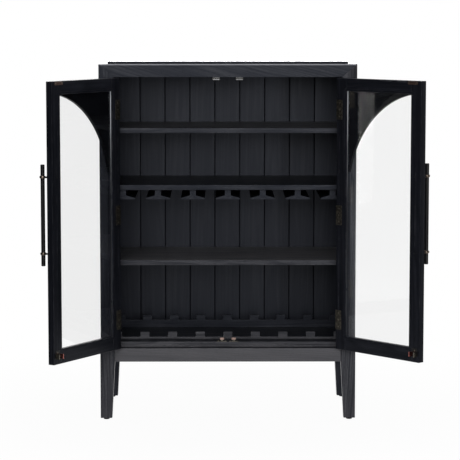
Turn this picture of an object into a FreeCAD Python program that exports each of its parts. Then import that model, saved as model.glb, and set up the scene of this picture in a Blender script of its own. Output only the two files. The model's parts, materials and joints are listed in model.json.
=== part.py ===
import FreeCAD
import Part
import math
import os

# Wine cabinet on tapered legs with two inset glazed doors, three shelves,
# hanging rails for stemware and a notched bottle rack on the floor.
# The origin is on the ground under the middle of the case. +X is to the right
# seen from the front, +Y to the back and +Z up. All lengths are in millimetres.
# The doors stand open here, as they do when the cabinet is being filled.

# Case
CASE_WIDTH = 914.0
CASE_DEPTH = 457.0
LEG_CLEARANCE = 210.5
APRON_HEIGHT = 48.5
TOP_RAIL_HEIGHT = 46.0
POST_WIDTH = 52.0
POST_DEPTH = 42.0
FOOT_WIDTH = 41.0
FOOT_DEPTH = 33.0
APRON_THICKNESS = 30.0
APRON_RECESS = 2.0
RAIL_THICKNESS = 30.0
SIDE_PANEL_THICKNESS = 18.0
SIDE_PANEL_RECESS = 8.0
BACK_PANEL_THICKNESS = 8.0
BACK_PANEL_INSET = 12.5
GROOVE_PITCH = 93.4
GROOVE_WIDTH = 5.0
GROOVE_DEPTH = 2.5
FLOOR_THICKNESS = 20.0
CEILING_THICKNESS = 18.0
TOP_BOARD_THICKNESS = 8.0
TOP_BOARD_SIDE_INSET = 30.0
TOP_BOARD_FRONT_INSET = 32.0
TOP_BOARD_BACK_INSET = 10.0
EDGE_EASE = 1.0

# Foot glides
GLIDE_HEIGHT = 6.0
GLIDE_RADIUS = 11.0
GLIDE_FLARE = 2.0
GLIDE_STEM_RADIUS = 2.5
GLIDE_STEM_LENGTH = 16.0

# Shelves and the pins that carry them
SHELF_THICKNESS = 18.0
SHELF_DOOR_GAP = 4.0
SHELF_PLAY = 0.5
BOTTLE_BAY_HEIGHT = 277.0
GLASS_BAY_HEIGHT = 252.0
DISPLAY_BAY_HEIGHT = 185.0
TOP_BAY_HEIGHT = 182.0
PIN_RADIUS = 2.5
PIN_SET_DEPTH = 8.0
PIN_REACH = 9.0
PIN_PAD_WIDTH = 10.0
PIN_PAD_THICKNESS = 2.0
PIN_POST_DISTANCE = 40.0

# Inverted T rails that hold stemware by the foot
STEM_RAIL_COUNT = 7
STEM_RAIL_END_GAP = 12.5
STEM_RAIL_DROP = 35.0
STEM_RAIL_WEB = 21.0
STEM_RAIL_FLANGE = 86.0
FLANGE_TIP = 5.0
FLANGE_ROOT = 14.0
STEM_RAIL_SETBACK = 18.0
STEM_RAIL_BACK_GAP = 40.0

# Notched rails that carry bottles, bodies in front and necks behind
TOOTH_COUNT = 9
TOOTH_END_GAP = 14.0
TOOTH_WIDTH = 33.0
TOOTH_HEIGHT = 18.5
BODY_RAIL_WEB = 8.0
NECK_RAIL_WEB = 29.0
BOTTLE_RAIL_THICKNESS = 18.0
BODY_RAIL_SETBACK = 60.0
NECK_RAIL_BACK_GAP = 65.5

# Doors
DOOR_END_GAP = 2.5
MEETING_GAP = 3.0
STILE_WIDTH = 48.0
DOOR_TOP_RAIL = 45.0
DOOR_BOTTOM_RAIL = 49.0
REBATE_WIDTH = 8.0
FRONT_LIP = 13.0
GLASS_THICKNESS = 4.0
GLASS_PLAY = 0.5
BEAD_THICKNESS = 7.0
ARCH_GLASS_GAP = 1.0
ARCH_OVERRUN = 5.5
ARCH_HEAD_HEIGHT = 2.0
ARCH_TIP_WIDTH = 2.0
LEFT_REST_OPENING = 122.0
RIGHT_REST_OPENING = 132.0

# Hinges whose door leaf wraps onto the back of the stile
HINGE_HEIGHT = 70.0
HINGE_TOP_INSET = 111.0
HINGE_BOTTOM_INSET = 106.0
LEAF_THICKNESS = 1.0
LEAF_CLEARANCE = 0.5
FRAME_LEAF_WIDTH = 24.0
WRAP_WIDTH = 28.0
BARREL_RADIUS = 3.0
BARREL_CLEARANCE = 0.4
HINGE_PIN_RADIUS = 1.5
HINGE_PIN_CLEARANCE = 0.05
HINGE_PIN_HEAD_RADIUS = 2.6
HINGE_PIN_HEAD_HEIGHT = 2.0
KNUCKLE_COUNT = 5
KNUCKLE_GAP = 0.3

# Screws
SCREW_HEAD_RADIUS = 2.9
SCREW_SHANK_RADIUS = 1.6
SCREW_LENGTH = 14.0
SCREW_PLAY = 0.1
SCREW_PROUD = 0.5
HINGE_SCREW_END = 11.0

# Bar handles
HANDLE_CENTRES = 262.0
HANDLE_OVERHANG = 43.0
HANDLE_RADIUS = 7.2
HANDLE_STANDOFF = 35.0
HANDLE_HEIGHT = 508.5
HANDLE_END_EASE = 1.2
HANDLE_FIT = 0.05
COLLAR_WALL = 3.2
COLLAR_HEIGHT = 9.0
HANDLE_POST_RADIUS = 3.2
ROSETTE_RADIUS = 6.5
ROSETTE_HEIGHT = 2.0
HANDLE_SCREW_HEAD_RADIUS = 4.0
HANDLE_SCREW_HEAD_HEIGHT = 1.8
HANDLE_SCREW_RADIUS = 1.8
HANDLE_SCREW_REACH = 14.0

# Magnetic catches under the top rail and their strike plates
CATCH_FROM_MIDDLE = 41.5
MAGNET_WIDTH = 26.0
MAGNET_DEPTH = 16.0
MAGNET_HEIGHT = 12.0
MAGNET_GAP = 0.4
STRIKE_PLATE_HEIGHT = 12.0
STRIKE_PLATE_THICKNESS = 1.2
STRIKE_PLATE_DROP = 1.0
STRIKE_SCREW_ROOM = 1.85

# Spring grips on the doors and the prongs that they close over
GRIP_PLATE_WIDTH = 27.0
GRIP_PLATE_HEIGHT = 30.0
GRIP_PLATE_THICKNESS = 1.5
GRIP_ARM_REACH = 15.0
GRIP_ARM_HEIGHT = 16.0
GRIP_ARM_THICKNESS = 1.2
GRIP_ARM_LIFT = 1.0
GRIP_PLATE_LIFT = 1.0
GRIP_CURL_RADIUS = 2.2
GRIP_PLAY = 1.2
GRIP_SCREW_LIFT = 21.0
PRONG_WIDTH = 15.0
PRONG_HEIGHT = 14.0
PRONG_HEAD_HEIGHT = 8.0
PRONG_NECK_WIDTH = 7.0
PRONG_THICKNESS = 3.0
PRONG_SETBACK = 3.0
PRONG_BASE_WIDTH = 38.0
PRONG_FROM_MIDDLE = 2.0
PRONG_BASE_DEPTH = 14.0
PRONG_BASE_THICKNESS = 1.5
PRONG_SCREW_HEAD = 1.0

# Planes of the case worked out from the sizes above
HALF_WIDTH = CASE_WIDTH / 2
FRONT = -CASE_DEPTH / 2
BACK = CASE_DEPTH / 2
OPENING_HALF = HALF_WIDTH - POST_WIDTH
INNER_HALF = HALF_WIDTH - SIDE_PANEL_RECESS - SIDE_PANEL_THICKNESS
POST_INNER_FRONT = FRONT + POST_DEPTH
POST_INNER_BACK = BACK - POST_DEPTH
APRON_TOP = LEG_CLEARANCE + APRON_HEIGHT
FLOOR_TOP = APRON_TOP + FLOOR_THICKNESS
LOWER_SHELF_TOP = FLOOR_TOP + BOTTLE_BAY_HEIGHT + SHELF_THICKNESS
MIDDLE_SHELF_TOP = LOWER_SHELF_TOP + GLASS_BAY_HEIGHT + SHELF_THICKNESS
UPPER_SHELF_TOP = MIDDLE_SHELF_TOP + DISPLAY_BAY_HEIGHT + SHELF_THICKNESS
SHELF_TOPS = (LOWER_SHELF_TOP, MIDDLE_SHELF_TOP, UPPER_SHELF_TOP)
OPENING_TOP = UPPER_SHELF_TOP + TOP_BAY_HEIGHT
CASE_TOP = OPENING_TOP + TOP_RAIL_HEIGHT
BACK_PANEL_REAR = BACK - BACK_PANEL_INSET
BACK_PANEL_FACE = BACK_PANEL_REAR - BACK_PANEL_THICKNESS
DOOR_THICKNESS = FRONT_LIP + GLASS_THICKNESS + BEAD_THICKNESS
SHELF_FRONT = FRONT + DOOR_THICKNESS + SHELF_DOOR_GAP
SHELF_HALF = INNER_HALF - SHELF_PLAY
STEM_RAIL_REACH = SHELF_HALF - STEM_RAIL_END_GAP - STEM_RAIL_FLANGE / 2
TOOTH_REACH = SHELF_HALF - TOOTH_END_GAP - TOOTH_WIDTH / 2
PIN_ROWS = (POST_INNER_FRONT + PIN_POST_DISTANCE, POST_INNER_BACK - PIN_POST_DISTANCE)

# Planes of the right-hand door when it is closed
HINGE_GAP = 2 * LEAF_THICKNESS + LEAF_CLEARANCE
DOOR_OUTER = OPENING_HALF - HINGE_GAP
DOOR_INNER = MEETING_GAP / 2
DOOR_BOTTOM = APRON_TOP + DOOR_END_GAP
DOOR_TOP = OPENING_TOP - DOOR_END_GAP
DOOR_REAR = FRONT + DOOR_THICKNESS
SIGHT_INNER = DOOR_INNER + STILE_WIDTH
SIGHT_OUTER = DOOR_OUTER - STILE_WIDTH
SIGHT_BOTTOM = DOOR_BOTTOM + DOOR_BOTTOM_RAIL
SIGHT_TOP = DOOR_TOP - DOOR_TOP_RAIL
ARCH_RADIUS = SIGHT_OUTER + ARCH_OVERRUN
ARCH_CENTRE = SIGHT_TOP - ARCH_HEAD_HEIGHT - math.sqrt(ARCH_RADIUS**2 - SIGHT_INNER**2)
GLASS_FACE = FRONT + FRONT_LIP
BEAD_FACE = GLASS_FACE + GLASS_THICKNESS
AXIS_X = OPENING_HALF - HINGE_GAP / 2
AXIS_Y = FRONT - BARREL_RADIUS - BARREL_CLEARANCE
HINGE_LEVELS = (
    DOOR_BOTTOM + HINGE_BOTTOM_INSET,
    (DOOR_BOTTOM + HINGE_BOTTOM_INSET + DOOR_TOP - HINGE_TOP_INSET) / 2,
    DOOR_TOP - HINGE_TOP_INSET,
)
HINGE_SCREW_SPREAD = HINGE_HEIGHT / 2 - HINGE_SCREW_END
WRAP_SCREW_X = DOOR_OUTER - WRAP_WIDTH / 2
FRAME_SCREW_Y = FRONT + FRAME_LEAF_WIDTH / 2
HANDLE_LENGTH = HANDLE_CENTRES + 2 * HANDLE_OVERHANG
HANDLE_X = DOOR_INNER + STILE_WIDTH / 2
HANDLE_Y = FRONT - HANDLE_STANDOFF
HANDLE_MIDDLE = DOOR_BOTTOM + HANDLE_HEIGHT
HANDLE_LEVELS = (HANDLE_MIDDLE - HANDLE_CENTRES / 2, HANDLE_MIDDLE + HANDLE_CENTRES / 2)
GRIP_FROM_MIDDLE = PRONG_FROM_MIDDLE + PRONG_BASE_WIDTH / 2
GRIP_BOTTOM = FLOOR_TOP + PRONG_BASE_THICKNESS + GRIP_PLATE_LIFT
GRIP_SCREW_LEVEL = GRIP_BOTTOM + GRIP_SCREW_LIFT
STRIKE_SCREW_SPREAD = MAGNET_WIDTH / 2 + SCREW_HEAD_RADIUS + STRIKE_SCREW_ROOM
STRIKE_PLATE_WIDTH = 2 * (STRIKE_SCREW_SPREAD + SCREW_HEAD_RADIUS + STRIKE_SCREW_ROOM)
STRIKE_PLATE_MIDDLE = DOOR_TOP - STRIKE_PLATE_DROP - STRIKE_PLATE_HEIGHT / 2
PRONG_FRONT = SHELF_FRONT + PRONG_SETBACK
PRONG_SCREW_SPREAD = (PRONG_WIDTH + PRONG_BASE_WIDTH) / 4
PRONG_SCREW_Y = SHELF_FRONT + PRONG_BASE_DEPTH / 2

ALONG_X = FreeCAD.Vector(1, 0, 0)
ALONG_Y = FreeCAD.Vector(0, 1, 0)
ALONG_Z = FreeCAD.Vector(0, 0, 1)
ORIGIN = FreeCAD.Vector(0, 0, 0)


def box(x, y, z):
    """A block between the low and high values of each axis."""
    size = [high - low for low, high in (x, y, z)]
    return Part.makeBox(*size, FreeCAD.Vector(x[0], y[0], z[0]))


def eased_box(x, y, z):
    """A block with its sharp edges taken off."""
    block = box(x, y, z)
    return block.makeChamfer(EDGE_EASE, block.Edges)


def rod(radius, start, direction, length):
    """A round bar from a start point along a direction."""
    return Part.makeCylinder(radius, length, FreeCAD.Vector(*start), direction)


def prism(points, direction, length):
    """A polygon pushed along a direction."""
    corners = [FreeCAD.Vector(*point) for point in points]
    outline = Part.makePolygon(corners + corners[:1])
    return Part.Face(outline).extrude(direction * length)


def mirrored(shape):
    """The left-hand twin of a right-hand piece."""
    return shape.mirror(ORIGIN, ALONG_X)


def both_sides(shapes):
    """Right-hand pieces and their left-hand twins."""
    return shapes + [mirrored(shape) for shape in shapes]


def one_solid(shapes):
    """Pieces welded into a single solid."""
    return shapes[0].multiFuse(shapes[1:]).removeSplitter().Solids[0]


def drilled(shape, holes):
    """A piece with round holes taken out of it."""
    return shape.cut(Part.makeCompound(holes)).Solids[0]


def evenly(count, reach):
    """Places spread evenly from one side of the middle to the other."""
    pitch = 2 * reach / (count - 1)
    return [pitch * step - reach for step in range(count)]


def leg_tapers(inner_y, outer_way):
    """The two wedges that slim a right-hand leg on its inner faces."""
    side = [
        (OPENING_HALF, FRONT, LEG_CLEARANCE),
        (OPENING_HALF, FRONT, GLIDE_HEIGHT),
        (OPENING_HALF + POST_WIDTH - FOOT_WIDTH, FRONT, GLIDE_HEIGHT),
    ]
    depth = [
        (OPENING_HALF, inner_y, LEG_CLEARANCE),
        (OPENING_HALF, inner_y, GLIDE_HEIGHT),
        (OPENING_HALF, inner_y + outer_way * (POST_DEPTH - FOOT_DEPTH), GLIDE_HEIGHT),
    ]
    return [prism(side, ALONG_Y, CASE_DEPTH), prism(depth, ALONG_X, POST_WIDTH)]


def glide_centre(outer_y, inner_way):
    """Where a right-hand glide sits under its foot."""
    return (HALF_WIDTH - FOOT_WIDTH / 2, outer_y + inner_way * FOOT_DEPTH / 2)


def glide_hole(outer_y, inner_way):
    """The hole in a right-hand foot for the stem of its glide."""
    x, y = glide_centre(outer_y, inner_way)
    return rod(GLIDE_STEM_RADIUS, (x, y, GLIDE_HEIGHT), ALONG_Z, GLIDE_STEM_LENGTH)


def frame_screw_points():
    """Heads of the screws that hold the right-hand frame leaves."""
    offsets = (-HINGE_SCREW_SPREAD, 0, HINGE_SCREW_SPREAD)
    heights = [level + offset for level in HINGE_LEVELS for offset in offsets]
    return [(OPENING_HALF, FRAME_SCREW_Y, height) for height in heights]


def front_post():
    """Right front post, its top mitred for the top rail."""
    post = eased_box(
        (OPENING_HALF, HALF_WIDTH), (FRONT, POST_INNER_FRONT), (GLIDE_HEIGHT, CASE_TOP)
    )
    mitre = prism(
        [
            (OPENING_HALF, FRONT, OPENING_TOP),
            (HALF_WIDTH, FRONT, CASE_TOP),
            (OPENING_HALF, FRONT, CASE_TOP),
        ],
        ALONG_Y,
        POST_DEPTH,
    )
    holes = [
        rod(SCREW_SHANK_RADIUS + SCREW_PLAY, point, ALONG_X, SCREW_LENGTH)
        for point in frame_screw_points()
    ]
    cuts = leg_tapers(POST_INNER_FRONT, -1) + [mitre, glide_hole(FRONT, 1)]
    return drilled(post, cuts + holes)


def back_post():
    """Right back post, rebated for the back panel and the floor."""
    post = eased_box((OPENING_HALF, HALF_WIDTH), (POST_INNER_BACK, BACK), (GLIDE_HEIGHT, CASE_TOP))
    rebate = box(
        (OPENING_HALF, INNER_HALF), (POST_INNER_BACK, BACK_PANEL_REAR), (APRON_TOP, OPENING_TOP)
    )
    return drilled(post, leg_tapers(POST_INNER_BACK, 1) + [rebate, glide_hole(BACK, -1)])


def front_top_rail():
    """Rail over the doors, mitred into the front posts."""
    outline = [
        (-OPENING_HALF, FRONT, OPENING_TOP),
        (OPENING_HALF, FRONT, OPENING_TOP),
        (HALF_WIDTH, FRONT, CASE_TOP),
        (-HALF_WIDTH, FRONT, CASE_TOP),
    ]
    return prism(outline, ALONG_Y, POST_DEPTH)


def posts_and_rails():
    """The four posts with the rails and aprons between them."""
    right_front = front_post()
    right_back = back_post()
    span = (-OPENING_HALF, OPENING_HALF)
    between_posts = (POST_INNER_FRONT, POST_INNER_BACK)
    rail_levels = (OPENING_TOP, CASE_TOP)
    apron_levels = (LEG_CLEARANCE, APRON_TOP)
    apron_outer = HALF_WIDTH - APRON_RECESS
    apron_front = FRONT + APRON_RECESS
    apron_back = BACK - APRON_RECESS
    side_rail = eased_box((HALF_WIDTH - RAIL_THICKNESS, HALF_WIDTH), between_posts, rail_levels)
    side_apron = eased_box((apron_outer - APRON_THICKNESS, apron_outer), between_posts, apron_levels)
    return {
        "right_front_post": right_front,
        "left_front_post": mirrored(right_front),
        "right_back_post": right_back,
        "left_back_post": mirrored(right_back),
        "front_top_rail": front_top_rail(),
        "back_top_rail": eased_box(span, (BACK - RAIL_THICKNESS, BACK), rail_levels),
        "side_top_rails": Part.makeCompound(both_sides([side_rail])),
        "front_apron": eased_box(span, (apron_front, apron_front + APRON_THICKNESS), apron_levels),
        "back_apron": eased_box(span, (apron_back - APRON_THICKNESS, apron_back), apron_levels),
        "side_aprons": Part.makeCompound(both_sides([side_apron])),
    }


def shelf_pin(y, shelf_top):
    """A right-hand pin with a pad under the shelf."""
    under = shelf_top - SHELF_THICKNESS
    tip = INNER_HALF - PIN_REACH
    centre = under - PIN_PAD_THICKNESS - PIN_RADIUS
    stem = rod(PIN_RADIUS, (tip, y, centre), ALONG_X, PIN_REACH + PIN_SET_DEPTH)
    pad = box(
        (tip, INNER_HALF),
        (y - PIN_PAD_WIDTH / 2, y + PIN_PAD_WIDTH / 2),
        (centre, under),
    )
    return one_solid([stem, pad])


def side_panel():
    """Right side panel, drilled for the shelf pins."""
    panel = box(
        (INNER_HALF, INNER_HALF + SIDE_PANEL_THICKNESS),
        (POST_INNER_FRONT, POST_INNER_BACK),
        (APRON_TOP, OPENING_TOP),
    )
    holes = [
        rod(
            PIN_RADIUS,
            (INNER_HALF, y, top - SHELF_THICKNESS - PIN_PAD_THICKNESS - PIN_RADIUS),
            ALONG_X,
            PIN_SET_DEPTH,
        )
        for top in SHELF_TOPS
        for y in PIN_ROWS
    ]
    return drilled(panel, holes)


def back_panel():
    """Beaded back with V grooves, the middle board on the centre line."""
    panel = box((-INNER_HALF, INNER_HALF), (BACK_PANEL_FACE, BACK_PANEL_REAR), (APRON_TOP, OPENING_TOP))
    boards_from_middle = int((INNER_HALF - GROOVE_WIDTH) / GROOVE_PITCH + 0.5)
    grooves = []
    for board in range(boards_from_middle):
        x = GROOVE_PITCH * (board + 0.5)
        outline = [
            (x - GROOVE_WIDTH / 2, BACK_PANEL_FACE, APRON_TOP),
            (x + GROOVE_WIDTH / 2, BACK_PANEL_FACE, APRON_TOP),
            (x, BACK_PANEL_FACE + GROOVE_DEPTH, APRON_TOP),
        ]
        grooves.append(prism(outline, ALONG_Z, OPENING_TOP - APRON_TOP))
    return drilled(panel, both_sides(grooves))


def post_clearance(play):
    """The front posts with some room around them, to notch boards with."""
    post = box(
        (OPENING_HALF - play, HALF_WIDTH), (FRONT, POST_INNER_FRONT + play), (GLIDE_HEIGHT, CASE_TOP)
    )
    return both_sides([post])


def floor_panel():
    """Floor board, notched round the front posts and drilled for the prongs."""
    board = eased_box((-INNER_HALF, INNER_HALF), (SHELF_FRONT, BACK_PANEL_FACE), (APRON_TOP, FLOOR_TOP))
    holes = [
        rod(SCREW_SHANK_RADIUS, (x, PRONG_SCREW_Y, FLOOR_TOP - SCREW_LENGTH), ALONG_Z, SCREW_LENGTH)
        for x in prong_screw_places()
    ]
    return drilled(board, post_clearance(0) + holes)


def ceiling_panel():
    """Board that closes the bay behind the top rail."""
    half = HALF_WIDTH - RAIL_THICKNESS
    depth = (POST_INNER_FRONT, BACK - RAIL_THICKNESS)
    board = box((-half, half), depth, (OPENING_TOP, OPENING_TOP + CEILING_THICKNESS))
    corner = box((OPENING_HALF, HALF_WIDTH), (POST_INNER_BACK, BACK), (OPENING_TOP, CASE_TOP))
    return drilled(board, both_sides([corner]))


def shelf(top):
    """A shelf notched round the front posts, its upper face at the given level."""
    depth = (SHELF_FRONT, BACK_PANEL_FACE - SHELF_PLAY)
    board = eased_box((-SHELF_HALF, SHELF_HALF), depth, (top - SHELF_THICKNESS, top))
    return drilled(board, post_clearance(SHELF_PLAY))


def boards():
    """The panels that close the case and the shelves in it."""
    right_side = side_panel()
    top = eased_box(
        (TOP_BOARD_SIDE_INSET - HALF_WIDTH, HALF_WIDTH - TOP_BOARD_SIDE_INSET),
        (FRONT + TOP_BOARD_FRONT_INSET, BACK - TOP_BOARD_BACK_INSET),
        (CASE_TOP, CASE_TOP + TOP_BOARD_THICKNESS),
    )
    pins = [shelf_pin(y, level) for level in SHELF_TOPS for y in PIN_ROWS]
    return {
        "side_panels": Part.makeCompound(both_sides([right_side])),
        "back_panel": back_panel(),
        "floor_panel": floor_panel(),
        "ceiling_panel": ceiling_panel(),
        "top_board": top,
        "lower_shelf": shelf(LOWER_SHELF_TOP),
        "middle_shelf": shelf(MIDDLE_SHELF_TOP),
        "upper_shelf": shelf(UPPER_SHELF_TOP),
        "shelf_pins": Part.makeCompound(both_sides(pins)),
    }


def foot_glides():
    """A glide with a stem under each foot."""
    glides = []
    for outer_y, inner_way in ((FRONT, 1), (BACK, -1)):
        x, y = glide_centre(outer_y, inner_way)
        place = FreeCAD.Vector(x, y, 0)
        foot = Part.makeCone(GLIDE_RADIUS - GLIDE_FLARE, GLIDE_RADIUS, GLIDE_HEIGHT, place)
        glides.append(one_solid([foot, glide_hole(outer_y, inner_way)]))
    return {"foot_glides": Part.makeCompound(both_sides(glides))}


def stemware_rails():
    """Inverted T rails under the middle shelf."""
    top = MIDDLE_SHELF_TOP - SHELF_THICKNESS
    low = top - STEM_RAIL_DROP
    start = SHELF_FRONT + STEM_RAIL_SETBACK
    length = BACK_PANEL_FACE - STEM_RAIL_BACK_GAP - start
    web = STEM_RAIL_WEB / 2
    flange = STEM_RAIL_FLANGE / 2
    half_outline = [(web, top), (web, low + FLANGE_ROOT), (flange, low + FLANGE_TIP), (flange, low)]
    outline = half_outline + [(-x, z) for x, z in reversed(half_outline)]
    rails = {}
    for index, place in enumerate(evenly(STEM_RAIL_COUNT, STEM_RAIL_REACH), 1):
        points = [(place + x, start, z) for x, z in outline]
        rails[f"stemware_rail_{index}"] = prism(points, ALONG_Y, length)
    return rails


def bottle_rail(front, web):
    """A rail across the floor with teeth between the bottles."""
    depth = (front, front + BOTTLE_RAIL_THICKNESS)
    pieces = [box((-SHELF_HALF, SHELF_HALF), depth, (FLOOR_TOP, FLOOR_TOP + web))]
    for x in evenly(TOOTH_COUNT, TOOTH_REACH):
        width = (x - TOOTH_WIDTH / 2, x + TOOTH_WIDTH / 2)
        pieces.append(box(width, depth, (FLOOR_TOP, FLOOR_TOP + web + TOOTH_HEIGHT)))
    return one_solid(pieces)


def bottle_rack():
    """A low rail for bottle bodies and a high one for their necks."""
    neck_front = BACK_PANEL_FACE - NECK_RAIL_BACK_GAP - BOTTLE_RAIL_THICKNESS
    return {
        "front_bottle_rail": bottle_rail(SHELF_FRONT + BODY_RAIL_SETBACK, BODY_RAIL_WEB),
        "back_bottle_rail": bottle_rail(neck_front, NECK_RAIL_WEB),
    }


def prong_screw_places():
    """Across the floor, the screws that hold the two prongs."""
    spread = (-PRONG_SCREW_SPREAD, PRONG_SCREW_SPREAD)
    return [side * GRIP_FROM_MIDDLE + offset for side in (-1, 1) for offset in spread]


def prong():
    """Right-hand prong, a broad head on a neck and a foot, which the spring grip closes over."""
    middle = GRIP_FROM_MIDDLE
    base = box(
        (middle - PRONG_BASE_WIDTH / 2, middle + PRONG_BASE_WIDTH / 2),
        (SHELF_FRONT, SHELF_FRONT + PRONG_BASE_DEPTH),
        (FLOOR_TOP, FLOOR_TOP + PRONG_BASE_THICKNESS),
    )
    depth = (PRONG_FRONT, PRONG_FRONT + PRONG_THICKNESS)
    top = FLOOR_TOP + PRONG_HEIGHT
    neck = box((middle - PRONG_NECK_WIDTH / 2, middle + PRONG_NECK_WIDTH / 2), depth, (FLOOR_TOP, top))
    head = box(
        (middle - PRONG_WIDTH / 2, middle + PRONG_WIDTH / 2), depth, (top - PRONG_HEAD_HEIGHT, top)
    )
    holes = [
        rod(
            SCREW_SHANK_RADIUS + SCREW_PLAY,
            (middle + offset, PRONG_SCREW_Y, FLOOR_TOP),
            ALONG_Z,
            PRONG_BASE_THICKNESS,
        )
        for offset in (-PRONG_SCREW_SPREAD, PRONG_SCREW_SPREAD)
    ]
    return drilled(one_solid([base, neck, head]), holes)


def prong_screw(x):
    """A screw down through the foot of a prong."""
    top = FLOOR_TOP + PRONG_BASE_THICKNESS
    head = rod(SCREW_HEAD_RADIUS, (x, PRONG_SCREW_Y, top), ALONG_Z, PRONG_SCREW_HEAD)
    bottom = FLOOR_TOP - SCREW_LENGTH
    shank = rod(SCREW_SHANK_RADIUS, (x, PRONG_SCREW_Y, bottom), ALONG_Z, top - bottom)
    return one_solid([head, shank])


def magnetic_catch():
    """Right-hand catch under the top rail, just behind the closed door."""
    face = DOOR_REAR + STRIKE_PLATE_THICKNESS + MAGNET_GAP
    return eased_box(
        (CATCH_FROM_MIDDLE - MAGNET_WIDTH / 2, CATCH_FROM_MIDDLE + MAGNET_WIDTH / 2),
        (face, face + MAGNET_DEPTH),
        (OPENING_TOP - MAGNET_HEIGHT, OPENING_TOP),
    )


def knuckle_spans(level, first):
    """Heights of every other knuckle of a hinge, from the first one given."""
    low = level - HINGE_HEIGHT / 2
    step = HINGE_HEIGHT / KNUCKLE_COUNT
    return [
        (low + step * k + KNUCKLE_GAP / 2, low + step * (k + 1) - KNUCKLE_GAP / 2)
        for k in range(first, KNUCKLE_COUNT, 2)
    ]


def knuckles(level, first, leaf_x):
    """Rolled knuckles of one leaf and the tabs that join them to its plate."""
    bore = HINGE_PIN_RADIUS + HINGE_PIN_CLEARANCE
    pieces = []
    for low, high in knuckle_spans(level, first):
        start = (AXIS_X, AXIS_Y, low)
        ring = rod(BARREL_RADIUS, start, ALONG_Z, high - low)
        tab_start = AXIS_Y + (bore + BARREL_RADIUS) / 2
        tab = box(leaf_x, (tab_start, FRONT + LEAF_THICKNESS), (low, high))
        pieces.append(ring.cut(rod(bore, start, ALONG_Z, high - low)))
        pieces.append(tab)
    return pieces


def frame_leaf(level):
    """Right-hand leaf on the inner face of the front post."""
    leaf_x = (OPENING_HALF - LEAF_THICKNESS, OPENING_HALF)
    heights = (level - HINGE_HEIGHT / 2, level + HINGE_HEIGHT / 2)
    plate = box(leaf_x, (FRONT, FRONT + FRAME_LEAF_WIDTH), heights)
    holes = [
        rod(
            SCREW_HEAD_RADIUS + SCREW_PLAY,
            (OPENING_HALF - LEAF_THICKNESS, FRAME_SCREW_Y, level + offset),
            ALONG_X,
            LEAF_THICKNESS,
        )
        for offset in (-HINGE_SCREW_SPREAD, 0, HINGE_SCREW_SPREAD)
    ]
    return drilled(one_solid([plate] + knuckles(level, 0, leaf_x)), holes)


def frame_screw(point):
    """A flush screw through a right-hand frame leaf into the post."""
    x, y, z = point
    start = (x - LEAF_THICKNESS, y, z)
    head = rod(SCREW_HEAD_RADIUS, start, ALONG_X, LEAF_THICKNESS)
    shank = rod(SCREW_SHANK_RADIUS, start, ALONG_X, LEAF_THICKNESS + SCREW_LENGTH)
    return one_solid([head, shank])


def hinge_pin(level):
    """Right-hand hinge pin with a head at each end."""
    low = level - HINGE_HEIGHT / 2
    high = level + HINGE_HEIGHT / 2
    pin = rod(HINGE_PIN_RADIUS, (AXIS_X, AXIS_Y, low), ALONG_Z, HINGE_HEIGHT)
    bottom = (AXIS_X, AXIS_Y, low - HINGE_PIN_HEAD_HEIGHT)
    heads = [
        rod(HINGE_PIN_HEAD_RADIUS, start, ALONG_Z, HINGE_PIN_HEAD_HEIGHT)
        for start in (bottom, (AXIS_X, AXIS_Y, high))
    ]
    return one_solid([pin] + heads)


def case_hardware():
    """Hinge leaves, pins, catches and screws that stay with the case."""
    screws = [frame_screw(point) for point in frame_screw_points()]
    prong_screws = [prong_screw(x) for x in prong_screw_places()]
    leaves = [frame_leaf(level) for level in HINGE_LEVELS]
    pins = [hinge_pin(level) for level in HINGE_LEVELS]
    return {
        "hinge_frame_leaves": Part.makeCompound(both_sides(leaves)),
        "hinge_pins": Part.makeCompound(both_sides(pins)),
        "magnetic_catches": Part.makeCompound(both_sides([magnetic_catch()])),
        "catch_prongs": Part.makeCompound(both_sides([prong()])),
        "case_screws": Part.makeCompound(both_sides(screws) + prong_screws),
    }


def door_screw_points():
    """Thickness of each plate on the back of the door, with its screws' places."""
    offsets = (-HINGE_SCREW_SPREAD, 0, HINGE_SCREW_SPREAD)
    wraps = [(WRAP_SCREW_X, level + offset) for level in HINGE_LEVELS for offset in offsets]
    spread = (-STRIKE_SCREW_SPREAD, STRIKE_SCREW_SPREAD)
    plates = [(CATCH_FROM_MIDDLE + offset, STRIKE_PLATE_MIDDLE) for offset in spread]
    return [
        (LEAF_THICKNESS, wraps),
        (STRIKE_PLATE_THICKNESS, plates),
        (GRIP_PLATE_THICKNESS, [(GRIP_FROM_MIDDLE, GRIP_SCREW_LEVEL)]),
    ]


def door_screw_holes(radius, rear, depth):
    """Holes at every door screw, running forward from a plane behind the door."""
    points = [point for plate, places in door_screw_points() for point in places]
    return [rod(radius, (x, rear - depth, z), ALONG_Y, depth) for x, z in points]


def door_screw(x, z, plate):
    """A screw through a plate of the given thickness into the door."""
    seat = DOOR_REAR + plate
    head = rod(SCREW_HEAD_RADIUS, (x, seat, z), ALONG_Y, SCREW_PROUD)
    reach = SCREW_LENGTH + plate
    shank = rod(SCREW_SHANK_RADIUS, (x, seat - reach, z), ALONG_Y, reach)
    return one_solid([head, shank])


def handle_screw(level):
    """A screw from the back of the meeting stile into a handle post."""
    head = rod(HANDLE_SCREW_HEAD_RADIUS, (HANDLE_X, DOOR_REAR, level), ALONG_Y, HANDLE_SCREW_HEAD_HEIGHT)
    reach = DOOR_THICKNESS + HANDLE_SCREW_REACH
    shank = rod(HANDLE_SCREW_RADIUS, (HANDLE_X, DOOR_REAR - reach, level), ALONG_Y, reach)
    return one_solid([head, shank])


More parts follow.
